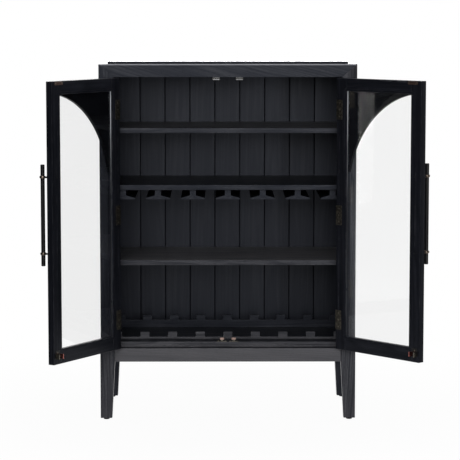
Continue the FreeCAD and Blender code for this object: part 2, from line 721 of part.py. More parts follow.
def door_frame():
    """Stiles and rails of the closed right-hand door, rebated for the glass."""
    rebate = box(
        (SIGHT_INNER - REBATE_WIDTH, SIGHT_OUTER + REBATE_WIDTH),
        (GLASS_FACE, DOOR_REAR),
        (SIGHT_BOTTOM - REBATE_WIDTH, SIGHT_TOP + REBATE_WIDTH),
    )
    depth = (FRONT, DOOR_REAR)
    full_height = (DOOR_BOTTOM, DOOR_TOP)
    between_stiles = (SIGHT_INNER, SIGHT_OUTER)
    blanks = {
        "hinge_stile": eased_box((SIGHT_OUTER, DOOR_OUTER), depth, full_height),
        "meeting_stile": eased_box((DOOR_INNER, SIGHT_INNER), depth, full_height),
        "top_rail": eased_box(between_stiles, depth, (SIGHT_TOP, DOOR_TOP)),
        "bottom_rail": eased_box(between_stiles, depth, (DOOR_BOTTOM, SIGHT_BOTTOM)),
    }
    holes = door_screw_holes(SCREW_SHANK_RADIUS + SCREW_PLAY, DOOR_REAR, SCREW_LENGTH)
    for level in HANDLE_LEVELS:
        start = (HANDLE_X, FRONT, level)
        holes.append(rod(HANDLE_SCREW_RADIUS + SCREW_PLAY, start, ALONG_Y, DOOR_THICKNESS))
    return {name: drilled(blank, [rebate] + holes) for name, blank in blanks.items()}


def arch_point(x):
    """Point of the arch at a distance from the middle of the cabinet."""
    return FreeCAD.Vector(x, FRONT, ARCH_CENTRE + math.sqrt(ARCH_RADIUS**2 - x**2))


def arch_panel():
    """Spandrel above the round arch, which spans both doors."""
    tip_x = SIGHT_OUTER - ARCH_TIP_WIDTH
    tip = arch_point(tip_x)
    head = arch_point(SIGHT_INNER)
    curve = Part.Arc(tip, arch_point((tip_x + SIGHT_INNER) / 2), head).toShape()
    top_inner = FreeCAD.Vector(SIGHT_INNER, FRONT, SIGHT_TOP)
    top_outer = FreeCAD.Vector(SIGHT_OUTER, FRONT, SIGHT_TOP)
    side_low = FreeCAD.Vector(SIGHT_OUTER, FRONT, tip.z)
    straight = Part.makePolygon([head, top_inner, top_outer, side_low, tip])
    outline = Part.Wire([curve] + straight.Edges)
    return Part.Face(outline).extrude(ALONG_Y * (FRONT_LIP - ARCH_GLASS_GAP))


def glass():
    """Pane held in the rebate behind the front lip."""
    slack = REBATE_WIDTH - GLASS_PLAY
    return box(
        (SIGHT_INNER - slack, SIGHT_OUTER + slack),
        (GLASS_FACE, BEAD_FACE),
        (SIGHT_BOTTOM - slack, SIGHT_TOP + slack),
    )


def glazing_beads():
    """Four mitred beads that keep the pane in its rebate."""
    inner = [
        (SIGHT_INNER, SIGHT_BOTTOM),
        (SIGHT_OUTER, SIGHT_BOTTOM),
        (SIGHT_OUTER, SIGHT_TOP),
        (SIGHT_INNER, SIGHT_TOP),
    ]
    outer = [
        (SIGHT_INNER - REBATE_WIDTH, SIGHT_BOTTOM - REBATE_WIDTH),
        (SIGHT_OUTER + REBATE_WIDTH, SIGHT_BOTTOM - REBATE_WIDTH),
        (SIGHT_OUTER + REBATE_WIDTH, SIGHT_TOP + REBATE_WIDTH),
        (SIGHT_INNER - REBATE_WIDTH, SIGHT_TOP + REBATE_WIDTH),
    ]
    beads = []
    for k in range(4):
        following = (k + 1) % 4
        corners = (outer[k], outer[following], inner[following], inner[k])
        points = [(x, BEAD_FACE, z) for x, z in corners]
        beads.append(prism(points, ALONG_Y, DOOR_REAR - BEAD_FACE))
    return Part.makeCompound(beads)


def handle_bar():
    """Round bar that stands off the meeting stile."""
    start = (HANDLE_X, HANDLE_Y, HANDLE_MIDDLE - HANDLE_LENGTH / 2)
    bar = rod(HANDLE_RADIUS, start, ALONG_Z, HANDLE_LENGTH)
    rims = [edge for edge in bar.Edges if edge.Closed]
    return bar.makeChamfer(HANDLE_END_EASE, rims)


def handle_post(level):
    """Collar round the bar with the post and rosette that carry it."""
    bore = HANDLE_RADIUS + HANDLE_FIT
    low = level - COLLAR_HEIGHT / 2
    collar = rod(bore + COLLAR_WALL, (HANDLE_X, HANDLE_Y, low), ALONG_Z, COLLAR_HEIGHT)
    post = rod(HANDLE_POST_RADIUS, (HANDLE_X, HANDLE_Y, level), ALONG_Y, HANDLE_STANDOFF)
    rosette = rod(ROSETTE_RADIUS, (HANDLE_X, FRONT - ROSETTE_HEIGHT, level), ALONG_Y, ROSETTE_HEIGHT)
    passage = rod(bore, (HANDLE_X, HANDLE_Y, low - COLLAR_HEIGHT), ALONG_Z, 3 * COLLAR_HEIGHT)
    thread_end = (HANDLE_X, FRONT - HANDLE_SCREW_REACH, level)
    thread = rod(HANDLE_SCREW_RADIUS, thread_end, ALONG_Y, HANDLE_SCREW_REACH)
    return drilled(one_solid([collar, post, rosette]), [passage, thread])


def strike_plate():
    """Thin plate at the top of the door for the magnetic catch."""
    plate = box(
        (CATCH_FROM_MIDDLE - STRIKE_PLATE_WIDTH / 2, CATCH_FROM_MIDDLE + STRIKE_PLATE_WIDTH / 2),
        (DOOR_REAR, DOOR_REAR + STRIKE_PLATE_THICKNESS),
        (STRIKE_PLATE_MIDDLE - STRIKE_PLATE_HEIGHT / 2, STRIKE_PLATE_MIDDLE + STRIKE_PLATE_HEIGHT / 2),
    )
    rear = DOOR_REAR + STRIKE_PLATE_THICKNESS
    holes = door_screw_holes(SCREW_SHANK_RADIUS + SCREW_PLAY, rear, STRIKE_PLATE_THICKNESS)
    return drilled(plate, holes)


def spring_grip():
    """Two sprung arms with curled ends on a plate at the foot of the door."""
    rear = DOOR_REAR + GRIP_PLATE_THICKNESS
    plate = box(
        (GRIP_FROM_MIDDLE - GRIP_PLATE_WIDTH / 2, GRIP_FROM_MIDDLE + GRIP_PLATE_WIDTH / 2),
        (DOOR_REAR, rear),
        (GRIP_BOTTOM, GRIP_BOTTOM + GRIP_PLATE_HEIGHT),
    )
    low = GRIP_BOTTOM + GRIP_ARM_LIFT
    heights = (low, low + GRIP_ARM_HEIGHT)
    tip = rear + GRIP_ARM_REACH
    pieces = [plate]
    for way in (-1, 1):
        inner = GRIP_FROM_MIDDLE + way * (PRONG_WIDTH / 2 + GRIP_PLAY)
        outer = inner + way * GRIP_ARM_THICKNESS
        curl = inner + way * GRIP_CURL_RADIUS
        pieces.append(box(sorted((inner, outer)), (DOOR_REAR, tip), heights))
        pieces.append(rod(GRIP_CURL_RADIUS, (curl, tip, low), ALONG_Z, GRIP_ARM_HEIGHT))
    holes = door_screw_holes(SCREW_SHANK_RADIUS + SCREW_PLAY, rear, GRIP_PLATE_THICKNESS)
    return drilled(one_solid(pieces), holes)


def door_leaf(level):
    """Leaf on the edge of the hinge stile that wraps onto its back."""
    leaf_x = (DOOR_OUTER, DOOR_OUTER + LEAF_THICKNESS)
    heights = (level - HINGE_HEIGHT / 2, level + HINGE_HEIGHT / 2)
    rear = DOOR_REAR + LEAF_THICKNESS
    edge_plate = box(leaf_x, (FRONT, rear), heights)
    wrap = box((DOOR_OUTER - WRAP_WIDTH, DOOR_OUTER + LEAF_THICKNESS), (DOOR_REAR, rear), heights)
    leaf = one_solid([edge_plate, wrap] + knuckles(level, 1, leaf_x))
    return drilled(leaf, door_screw_holes(SCREW_SHANK_RADIUS + SCREW_PLAY, rear, LEAF_THICKNESS))


def closed_door():
    """Every piece of the right-hand door as it lies when shut."""
    screws = [door_screw(x, z, plate) for plate, places in door_screw_points() for x, z in places]
    screws += [handle_screw(level) for level in HANDLE_LEVELS]
    pieces = door_frame()
    pieces["arch_panel"] = arch_panel()
    pieces["glass"] = glass()
    pieces["glazing_beads"] = glazing_beads()
    pieces["handle_bar"] = handle_bar()
    pieces["handle_posts"] = Part.makeCompound([handle_post(level) for level in HANDLE_LEVELS])
    pieces["strike_plate"] = strike_plate()
    pieces["spring_grip"] = spring_grip()
    pieces["hinge_leaves"] = Part.makeCompound([door_leaf(level) for level in HINGE_LEVELS])
    pieces["screws"] = Part.makeCompound(screws)
    return pieces


def swung(shape, axis_x, degrees):
    """A door piece turned about its hinge line."""
    turned = shape.copy()
    turned.rotate(FreeCAD.Vector(axis_x, AXIS_Y, 0), ALONG_Z, degrees)
    return turned


def doors():
    """Both doors, each standing open as far as it does at rest."""
    nodes = {}
    for name, shape in closed_door().items():
        nodes[f"right_door_{name}"] = swung(shape, AXIS_X, RIGHT_REST_OPENING)
        nodes[f"left_door_{name}"] = swung(mirrored(shape), -AXIS_X, -LEFT_REST_OPENING)
    return nodes


def main():
    """Build every piece and write one file for each."""
    os.makedirs("parts", exist_ok=True)
    nodes = {}
    for pieces in (
        posts_and_rails(),
        boards(),
        foot_glides(),
        stemware_rails(),
        bottle_rack(),
        case_hardware(),
        doors(),
    ):
        nodes.update(pieces)
    for name, shape in nodes.items():
        shape.exportStep(f"parts/{name}.step")
    print(len(nodes), "pieces and groups written")


if __name__ == "__main__":
    main()
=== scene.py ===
import json
import math
import random

import bmesh
import bpy
from mathutils import Matrix, Vector

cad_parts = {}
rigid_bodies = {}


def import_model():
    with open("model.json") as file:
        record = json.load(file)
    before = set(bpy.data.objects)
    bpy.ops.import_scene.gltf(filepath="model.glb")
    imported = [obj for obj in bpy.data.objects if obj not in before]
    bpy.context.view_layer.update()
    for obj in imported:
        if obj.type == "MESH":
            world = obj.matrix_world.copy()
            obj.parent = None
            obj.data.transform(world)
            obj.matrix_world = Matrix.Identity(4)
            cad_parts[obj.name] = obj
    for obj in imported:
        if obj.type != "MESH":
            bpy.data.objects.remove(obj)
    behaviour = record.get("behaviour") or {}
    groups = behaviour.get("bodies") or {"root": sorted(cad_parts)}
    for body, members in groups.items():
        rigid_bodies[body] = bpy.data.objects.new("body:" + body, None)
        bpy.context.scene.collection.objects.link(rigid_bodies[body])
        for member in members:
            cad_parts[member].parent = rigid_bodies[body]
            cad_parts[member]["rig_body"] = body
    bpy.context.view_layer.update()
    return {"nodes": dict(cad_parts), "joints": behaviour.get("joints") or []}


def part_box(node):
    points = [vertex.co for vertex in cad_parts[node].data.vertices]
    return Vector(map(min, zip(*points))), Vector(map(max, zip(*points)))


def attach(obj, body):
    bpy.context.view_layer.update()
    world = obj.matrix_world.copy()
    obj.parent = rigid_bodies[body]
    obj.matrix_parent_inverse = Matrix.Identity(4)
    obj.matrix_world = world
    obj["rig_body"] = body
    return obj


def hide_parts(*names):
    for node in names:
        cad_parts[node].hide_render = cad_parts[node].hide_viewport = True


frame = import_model()

bl_info = {
    "name": "Wine cabinet dresser",
    "version": (1, 0, 0),
    "blender": (4, 5, 0),
    "location": "View3D > Sidebar > Cabinet",
    "description": "Dresses a wine cabinet in black-stained oak, glass and old brass",
    "category": "Object",
}

CASE = "case"
SIDES = ("left", "right")

# How close points are when they are one, and how small a radius is when it is none
WELD = 1e-5
TINY = 1e-6

# Angles that tell sharp, flat and square edges apart
SHARP_ANGLE = math.radians(50)
FLAT_ANGLE = math.radians(0.2)
STRAIGHT_HALF = math.radians(89.5)
SQUARE_FROM = math.radians(80)
SQUARE_TO = math.radians(100)

# Steps round turned shapes and arcs, and across rounded edges
ROUND_SIDES = 32
BAR_SIDES = 40
PIN_SIDES = 24
SCREW_SIDES = 20
ARC_STEPS = 6
ARCH_STEPS = 56
CURL_STEPS = 14
COLLAR_STEPS = 10
DOME_STEPS = 5
EASE_STEPS = 2
ARRIS_STEPS = 3
CROWN_STEPS = 4

# The top of the case, its outer edges rounded over and its upper faces polished
CROWNED = (
    "right_front_post",
    "left_front_post",
    "right_back_post",
    "left_back_post",
    "front_top_rail",
    "back_top_rail",
    "side_top_rails",
)
CASE_FRAME = CROWNED + ("front_apron", "back_apron", "side_aprons")
CASE_BOARDS = (
    "side_panels",
    "floor_panel",
    "ceiling_panel",
    "top_board",
    "lower_shelf",
    "middle_shelf",
    "upper_shelf",
)
BOTTLE_RAILS = ("front_bottle_rail", "back_bottle_rail")
STEM_RAILS = sorted(node for node in frame["nodes"] if node.startswith("stemware_rail_"))
DOOR_WOOD = ("hinge_stile", "meeting_stile", "top_rail", "bottom_rail")

# Boards that are filled smoother or polished all over
CALM_BOARDS = ("side_panels", "ceiling_panel", "back_panel", "front_apron")
POLISHED_BOARDS = ("top_board",)

# The leg whose painted floor light fades out upwards, and the share of that height below which it is full
LEGS_LIT_FROM_BELOW = ("left_front_post",)
LEG_LIGHT_FULL_SHARE = 0.7

# Painted light on the front and the top of a board, where light falls on them, from none to full
LIT_FRONTS = {
    "front_apron": 0.86,
    "floor_panel": 0.62,
    "front_bottle_rail": 0.55,
    "right_front_post": 0.42,
    "left_front_post": 0.4,
    "lower_shelf": 0.3,
    "upper_shelf": 0.08,
}
LIT_TOPS = {"upper_shelf": 0.7, "lower_shelf": 0.95}

# Painted highlight along a board's upper front edge, and wear with painted highlight on the other edges
EDGE_HIGHLIGHT_MOST = 4.0
EDGE_HIGHLIGHTS = {"front_top_rail": EDGE_HIGHLIGHT_MOST, "front_apron": 0.9, "middle_shelf": 0.6, "floor_panel": 0.5}
EDGE_WEAR_AND_SHEEN = 0.22

# How steeply the grain runs off a board's length, and at most on the boards not named
SLANTED = {"front_top_rail": 0.28, "front_apron": 0.06, "back_top_rail": 0.12}
SLANT = 0.05

# Where in its log a board was sawn: along it, aside of the pith, and near to it or far from it
LOG_LENGTH = 9.0
PITH_ASIDE = 0.05
PITH_NEAR = 0.03
PITH_FAR = 0.09

# A face is an eased edge when it is narrower than so many easings, and an edge is long enough to be
# rounded when it measures so many radii
EDGE_EASES = 3
LONG_EDGE = 4

# Which way a face looks: how much of its normal points there
LEANING = 0.15
FACING_FRONT = 0.5
FACING_UP = 0.9
FACING_SQUARE = 0.99

# Outer faces of the case lie further from its middle than this
CASE_REACH = 0.2

ALONG_Y = Matrix(((1, 0, 0, 0), (0, 0, 1, 0), (0, 1, 0, 0), (0, 0, 0, 1)))
ALONG_X = Matrix(((0, 0, 1, 0), (1, 0, 0, 0), (0, 1, 0, 0), (0, 0, 0, 1)))
UPRIGHT = Matrix.Identity(4)
MIRROR = Matrix.Diagonal((-1, 1, 1, 1))
UP = (0.0, 0.0, 1.0)
WHITE = (1.0, 1.0, 1.0, 1.0)


# What a user would change


def length(name, description, default):
    """A length in metres for a property group."""
    return bpy.props.FloatProperty(
        name=name, description=description, default=default, min=0.0, precision=5, unit="LENGTH"
    )


def colour(name, description, default):
    """A linear colour for a property group."""
    return bpy.props.FloatVectorProperty(
        name=name, description=description, default=default, min=0.0, max=1.0, subtype="COLOR"
    )


def share(name, description, default):
    """A number from nothing to all for a property group."""
    return bpy.props.FloatProperty(
        name=name, description=description, default=default, min=0.0, max=1.0, subtype="FACTOR"
    )


class CabinetSizes(bpy.types.PropertyGroup):
    """Sizes of the details that the solids leave plain."""

    wood_ease: length("Wood edge", "Rounding along the sharp edges of the woodwork", 0.0009)
    door_ease: length("Door edge", "Rounding along the outer edges of the doors", 0.0005)
    door_arris: length("Door arris", "Rounding along the inner edges of the doors", 0.0014)
    crown_round: length("Crown", "Radius along the upper edge of the case", 0.0045)
    # Painted light: the left front leg's front is lit up to this height, standing in for floor light
    leg_fade: length("Leg", "Height up to which the left front leg gets painted light", 0.34)
    board_pitch: length("Back board", "Distance between the grooves of the back", 0.0934)
    arch_head: length("Arch head", "Height left over the crown of the arch", 0.002)
    arch_tip: length("Arch tip", "Width left at the foot of the arch", 0.002)
    bead_round: length("Bead rounding", "Radius of the glazing bead's open corner", 0.0022)
    seal_rise: length("Seal rise", "How far the glazing seal climbs the bead", 0.0025)
    seal_toe: length("Seal toe", "How far the glazing seal lies on the pane", 0.0003)
    stem_web: length("Stem rail web", "Thickness of a stemware rail's upright", 0.021)
    stem_tip: length("Stem rail tip", "Thickness at the edge of a stemware rail's flange", 0.005)
    stem_root: length("Stem rail root", "Thickness where the flange meets the upright", 0.014)
    stem_round: length("Stem rail rounding", "Radius along a stemware rail's corners", 0.0016)
    leaf: length("Hinge leaf", "Thickness of the sheet that the hinges are folded from", 0.001)
    leaf_corner: length("Leaf corner", "Radius at the free corners of a hinge leaf", 0.004)
    knuckle_ease: length("Knuckle edge", "Rounding at the ends of a hinge knuckle", 0.0004)
    collar_wall: length("Collar wall", "Thickness of the ring round a handle bar", 0.00325)
    collar_height: length("Collar height", "Height of the ring round a handle bar", 0.009)
    post_radius: length("Handle post", "Radius of a handle post at its waist", 0.0032)
    rosette_height: length("Rosette", "Thickness of the disc under a handle post", 0.002)
    grip_plate: length("Grip plate", "Thickness of a spring grip's plate", 0.0015)
    grip_sheet: length("Grip arm", "Thickness of a spring grip's arms", 0.0012)
    grip_gap: length("Grip gap", "Half the room between a spring grip's arms", 0.0087)
    grip_curl: length("Grip curl", "Radius of the curl at the end of an arm", 0.0022)
    grip_arm_lift: length("Grip arm lift", "Height of the arms over the plate's foot", 0.001)
    grip_arm_height: length("Grip arm height", "Height of a spring grip's arms", 0.016)
    prong_width: length("Prong head", "Width of a prong's head", 0.015)
    prong_head: length("Prong head height", "Height of a prong's head", 0.008)
    prong_neck: length("Prong neck", "Width of a prong under its head", 0.007)
    prong_thickness: length("Prong thickness", "Thickness of a prong", 0.003)
    prong_setback: length("Prong setback", "From the front of its foot to a prong", 0.003)
    prong_foot: length("Prong foot", "Thickness of the plate under a prong", 0.0015)
    pin_radius: length("Shelf pin", "Radius of a shelf pin's stem", 0.0025)
    pin_reach: length("Pin reach", "How far a shelf pin stands out of the side", 0.009)


class CabinetFinish(bpy.types.PropertyGroup):
    """Colours and surface measures of the finishes."""

    oak_dark: colour("Oak, late wood", "Stain on the dense part of the grain", (0.0026, 0.0029, 0.0041))
    oak_light: colour("Oak, early wood", "Stain on the open part of the grain", (0.0108, 0.0116, 0.0158))
    # Painted light: the pale colour that lit fronts and tops are mixed towards
    oak_thin: colour("Oak, painted light", "Painted light on fronts and tops where light falls", (0.118, 0.1145, 0.1205))
    # Painted highlight and wear: the pale grey that eased edges are mixed towards
    oak_worn: colour("Oak, edge highlight and wear", "Painted highlight and wear along eased edges", (0.24, 0.24, 0.262))
    oak_roughness: share("Oak roughness", "Roughness of the stained wood", 0.44)
    door_roughness: share("Door roughness", "Roughness of the stained wood of the doors", 0.32)
    top_roughness: share("Top roughness", "Roughness of the polished top", 0.14)
    lacquer_roughness: share("Lacquer roughness", "Roughness of the lacquer over the stain", 0.3)
    lacquer_gleam: colour("Lacquer gleam", "Tint of the sheen on the stained wood", (0.72, 0.79, 1.0))
    ring_spacing: length("Ring spacing", "Distance between growth rings", 0.0085)
    pore_length: length("Pore length", "Length of an open pore along the grain", 0.011)
    pore_width: length("Pore width", "Width of an open pore", 0.0009)
    glass_tint: colour("Glass", "Faint tint of the panes", (0.974, 0.976, 0.976))
    # The seal's own dark colour, then its painted highlight towards the top and the heights it spans
    seal_grey: colour("Glazing seal", "Seal round the panes, low down", (0.020, 0.0225, 0.026))
    seal_pale: colour("Glazing seal, painted highlight", "Painted highlight on the seal towards the top", (0.80, 0.83, 0.88))
    seal_low: length("Seal highlight start", "Height up to which the seal has no painted highlight", 0.74)
    seal_high: length("Seal highlight full", "Height from which the seal's painted highlight is full", 1.24)
    brass: colour("Old brass", "Hinges gone dull", (0.125, 0.115, 0.095))
    brass_dark: colour("Old brass, tarnished", "Tarnish in the dull brass", (0.022, 0.0205, 0.018))
    screw_brass: colour("Screw brass", "Heads of the screws", (0.24, 0.215, 0.17))
    collar_brass: colour("Collar brass", "Rings on the handles", (0.21, 0.165, 0.135))
    copper: colour("Copper plate", "Arms of the spring grips", (0.36, 0.13, 0.112))
    copper_dark: colour("Copper, tarnished", "Tarnish on the copper", (0.085, 0.032, 0.030))
    strike: colour("Strike plate", "Bronzed strike plates", (0.175, 0.118, 0.100))
    strike_dark: colour("Strike plate, tarnished", "Tarnish on the strike plates", (0.095, 0.062, 0.053))
    bronze: colour("Prong bronze", "Heads of the prongs", (0.27, 0.19, 0.165))
    bronze_dark: colour("Prong bronze, tarnished", "Tarnish on the prongs", (0.14, 0.092, 0.078))
    handle_black: colour("Handle black", "Enamel on the handle bars", (0.0045, 0.0045, 0.005))
    magnet_grey: colour("Catch grey", "Housing of a magnetic catch", (0.032, 0.031, 0.026))
    pole_grey: colour("Pole steel", "Pole plates of a magnetic catch", (0.15, 0.15, 0.153))
    pole_dull: colour("Pole steel, dull", "Dull patches on plated steel", (0.09, 0.09, 0.087))
    glide_black: colour("Glide", "Moulded glides under the feet", (0.005, 0.005, 0.0055))
    pin_steel: colour("Pin steel", "Shelf pins", (0.44, 0.43, 0.41))


class CabinetStage(bpy.types.PropertyGroup):
    """Camera, lamps and floor."""

    camera_place: bpy.props.FloatVectorProperty(
        name="Camera", description="Where the camera stands", default=(-0.0381, -7.4751, 1.4879),
        subtype="TRANSLATION", unit="LENGTH",
    )
    camera_pitch: bpy.props.FloatProperty(
        name="Camera tilt", description="How far the camera looks down",
        default=math.radians(6.317), subtype="ANGLE",
    )
    camera_yaw: bpy.props.FloatProperty(
        name="Camera turn", description="How far the camera looks to the right",
        default=math.radians(0.361), subtype="ANGLE",
    )
    camera_lens: bpy.props.FloatProperty(
        name="Lens", description="Focal length on a 36 mm wide sensor", default=160.31,
        subtype="DISTANCE_CAMERA",
    )
    surround: share("Surround", "Light that the white room gives to matt surfaces", 0.15)
    floor_colour: colour("Floor", "Pale floor", (0.45, 0.45, 0.45))
    floor_near: length("Floor shade", "Distance at which the floor's shade starts to fade", 0.5)
    floor_far: length("Floor white", "Distance at which the floor is plain white", 1.6)
    flat_light: share("Side flats", "How light the flats beside the cabinet are", 0.03)
    floor_size: length("Floor size", "Half the width of the floor", 30.0)
    floor_glow: share("Floor glow", "Share of plain white in the floor close to the cabinet", 0.965)


def sizes():
    """The sizes that the scene holds."""
    return bpy.context.scene.cabinet_sizes


def finish():
    """The finishes that the scene holds."""
    return bpy.context.scene.cabinet_finish


def stage():
    """The camera, lamps and floor that the scene holds."""
    return bpy.context.scene.cabinet_stage


# Shapes read from the frame


def shutting(body):
    """The turn that carries a body's pieces from rest to where they lie with the doors shut."""
    for joint in frame["joints"]:
        if joint["child"] == body:
            there = Matrix.Translation(joint["pos_m"])
            angle = math.radians(joint["range_deg"][0])
            return there @ Matrix.Rotation(angle, 4, Vector(joint["axis"])) @ there.inverted()
    return Matrix.Identity(4)


def body_of(node):
    """The body that a node rides on."""
    return frame["nodes"][node]["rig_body"]


def hinge_axis(side):
    """Where a door's hinge line passes, on the right-hand side."""
    for joint in frame["joints"]:
        if joint["child"] == f"{side}_door":
            return Vector((abs(joint["pos_m"][0]), joint["pos_m"][1], 0.0))
    raise RuntimeError(f"The {side} door has no hinge line.")


def shut_copy(node):
    """A welded copy of a node's mesh, as it lies with the doors shut."""
    bm = bmesh.new()
    bm.from_mesh(frame["nodes"][node].data)
    bmesh.ops.remove_doubles(bm, verts=bm.verts, dist=WELD)
    bm.transform(shutting(body_of(node)))
    return bm


def islands(bm):
    """The faces of each separate shell of a mesh."""
    bm.faces.index_update()
    bm.faces.ensure_lookup_table()
    seen = [False] * len(bm.faces)
    shells = []
    for first in bm.faces:
        if seen[first.index]:
            continue
        seen[first.index] = True
        shell = [first]
        for face in shell:
            for edge in face.edges:
                for other in edge.link_faces:
                    if not seen[other.index]:
                        seen[other.index] = True
                        shell.append(other)
        shells.append(shell)
    return shells


def corners(points):
    """Lowest and highest corner of some points."""
    low = Vector([min(point[axis] for point in points) for axis in range(3)])
    high = Vector([max(point[axis] for point in points) for axis in range(3)])
    return low, high


def solids(node):
    """The points of each solid of a node with the doors shut, from the bottom up, left to right."""
    bm = shut_copy(node)
    found = []
    for shell in islands(bm):
        found.append([vert.co.copy() for vert in {vert for face in shell for vert in face.verts}])
    bm.free()

    def order(points):
        low = corners(points)[0]
        return round(low.z, 4), round(low.x, 4)

    return sorted(found, key=order)


def boxes(node):
    """Lowest and highest corner of each solid of a node, with the doors shut."""
    return [corners(points) for points in solids(node)]


def right_hand(low, high):
    """A box, carried over to the right-hand side of the cabinet."""
    if low.x + high.x >= 0:
        return low, high
    return Vector((-high.x, low.y, low.z)), Vector((-low.x, high.y, high.z))


def right_boxes(node):
    """Boxes of those solids of a node that are on the right-hand side."""
    return [(low, high) for low, high in boxes(node) if low.x + high.x >= 0]


def door_box(side, piece):
    """Box of a door piece with the door shut, seen as if it were the right-hand door."""
    return right_hand(*boxes(f"{side}_door_{piece}")[0])


# Outlines and shells


def rounded(points, radii, steps=ARC_STEPS):
    """A polygon with arcs of the given radii in place of its corners."""
    outline = []
    count = len(points)
    for k, radius in enumerate(radii):
        corner = Vector(points[k])
        back = (Vector(points[k - 1]) - corner).normalized()
        ahead = (Vector(points[(k + 1) % count]) - corner).normalized()
        half = back.angle(ahead) / 2
        if radius < TINY or half > STRAIGHT_HALF:
            outline.append(corner)
            continue
        centre = corner + (back + ahead).normalized() * (radius / math.sin(half))
        start = corner + back * (radius / math.tan(half)) - centre
        end = corner + ahead * (radius / math.tan(half)) - centre
        sweep = start.angle_signed(end)
        for step in range(steps + 1):
            turn = Matrix.Rotation(-sweep * step / steps, 2)
            outline.append(centre + turn @ start)
    return outline


def rectangle(low, high, radius, steps=ARC_STEPS):
    """A rectangle with round corners."""
    points = [(low[0], low[1]), (high[0], low[1]), (high[0], high[1]), (low[0], high[1])]
    return rounded(points, [radius] * 4, steps)


def inset(outline, distance):
    """An outline drawn in by a distance, whichever way it runs."""
    count = len(outline)
    area = sum(outline[k - 1].cross(outline[k]) for k in range(count))
    way = 1 if area > 0 else -1
    drawn = []
    for k, point in enumerate(outline):
        before = (point - outline[k - 1]).normalized()
        after = (outline[(k + 1) % count] - point).normalized()
        first = Vector((-before.y, before.x))
        second = Vector((-after.y, after.x))
        drawn.append(point + (first + second) * (way * distance / (1 + first.dot(second))))
    return drawn


def plate(bm, outline, low, high, ease=0.0, place=UPRIGHT, material=0):
    """A flat piece cut to an outline, its rims eased, from one height to another."""
    outline = [Vector(point) for point in outline]
    levels = [(outline, low), (outline, high)]
    if ease > 0:
        drawn = inset(outline, ease)
        levels = [(drawn, low), (outline, low + ease), (outline, high - ease), (drawn, high)]
    rings = [
        [bm.verts.new(place @ Vector((point.x, point.y, height))) for point in ring]
        for ring, height in levels
    ]
    faces = [bm.faces.new(rings[0]), bm.faces.new(rings[-1])]
    faces += skin(bm, rings)
    for face in faces:
        face.material_index = material


def skin(bm, rings, closed=False):
    """Faces between rings of points, where a ring of one point is a pole."""
    faces = []
    pairs = list(zip(rings, rings[1:]))
    if closed:
        pairs.append((rings[-1], rings[0]))
    for low, high in pairs:
        count = max(len(low), len(high))
        for k in range(count):
            around = [low[k % len(low)], low[(k + 1) % len(low)]]
            around += [high[(k + 1) % len(high)], high[k % len(high)]]
            face = list(dict.fromkeys(around))
            if len(face) > 2:
                faces.append(bm.faces.new(face))
    return faces


def turned(bm, profile, place=UPRIGHT, sides=ROUND_SIDES, closed=False, material=0):
    """A shape turned on a lathe from (radius, height) points, about a placement's Z axis."""
    rings = []
    for radius, height in profile:
        if radius < TINY:
            rings.append([bm.verts.new(place @ Vector((0.0, 0.0, height)))])
            continue
        ring = []
        for k in range(sides):
            angle = 2 * math.pi * k / sides
            point = Vector((radius * math.cos(angle), radius * math.sin(angle), height))
            ring.append(bm.verts.new(place @ point))
        rings.append(ring)
    for face in skin(bm, rings, closed):
        face.material_index = material


def arc(centre, radius, start, end, steps=ARC_STEPS):
    """Points on an arc in a plane, from one angle in degrees to another."""
    angles = [math.radians(start + (end - start) * k / steps) for k in range(steps + 1)]
    return [
        (centre[0] + radius * math.cos(angle), centre[1] + radius * math.sin(angle))
        for angle in angles
    ]


def round_rod(radius, low, high, ease):
    """Lathe profile of a rod with eased ends."""
    return (
        [(0.0, low)]
        + arc((radius - ease, low + ease), ease, -90, 0)
        + arc((radius - ease, high - ease), ease, 0, 90)
        + [(0.0, high)]
    )


def bevel(bm, edges, radius, steps):
    """Round off some edges, if there are any."""
    if edges:
        bmesh.ops.bevel(
            bm, geom=edges, offset=radius, offset_type="OFFSET", segments=steps, profile=0.5,
            affect="EDGES", clamp_overlap=True,
        )


def square_edges(bm, radius):
    """The square edges of a piece that are long enough to be rounded."""
    bm.normal_update()
    return [
        edge
        for edge in bm.edges
        if len(edge.link_faces) == 2
        and edge.is_convex
        and SQUARE_FROM < edge.calc_face_angle() < SQUARE_TO
        and edge.calc_length() > LONG_EDGE * radius
    ]


def crown_edges(bm, radius):
    """The square edges along the outside of the case's top."""
    top = max(vert.co.z for vert in bm.verts)
    found = []
    for edge in square_edges(bm, radius):
        level = all(vert.co.z > top - WELD for vert in edge.verts)
        middle = (edge.verts[0].co + edge.verts[1].co) / 2
        ways = [face.normal for face in edge.link_faces]
        sides = [way for way in ways if max(abs(way.x), abs(way.y)) > FACING_SQUARE]
        if level and any(way.dot(middle) > CASE_REACH for way in sides):
            found.append(edge)
    return found


def rear_edges(bm, radius):
    """The square edges along the back of a shut door."""
    rear = max(vert.co.y for vert in bm.verts)
    found = square_edges(bm, radius)
    return [edge for edge in found if all(vert.co.y > rear - WELD for vert in edge.verts)]


# Putting a piece in the scene


def board_lie(label, number, board):
    """Where in its log a board was sawn, and how its grain slants."""
    draw = random.Random(f"{label} {number} {board}")
    along = draw.uniform(0, LOG_LENGTH)
    aside = draw.uniform(-PITH_ASIDE, PITH_ASIDE)
    away = draw.uniform(PITH_NEAR, PITH_FAR)
    return Vector((along, aside, away)), SLANTED.get(label, draw.uniform(-SLANT, SLANT))


def edge_highlight_and_wear(label, face):
    """How much painted highlight and wear a face gets, which it does only on eased edges."""
    width = 2 * face.calc_area() / face.calc_perimeter()
    if width >= EDGE_EASES * sizes().wood_ease:
        return 0.0
    upper_front = face.normal.z > LEANING and face.normal.y < -LEANING
    return EDGE_HIGHLIGHTS.get(label, EDGE_WEAR_AND_SHEEN) if upper_front else EDGE_WEAR_AND_SHEEN


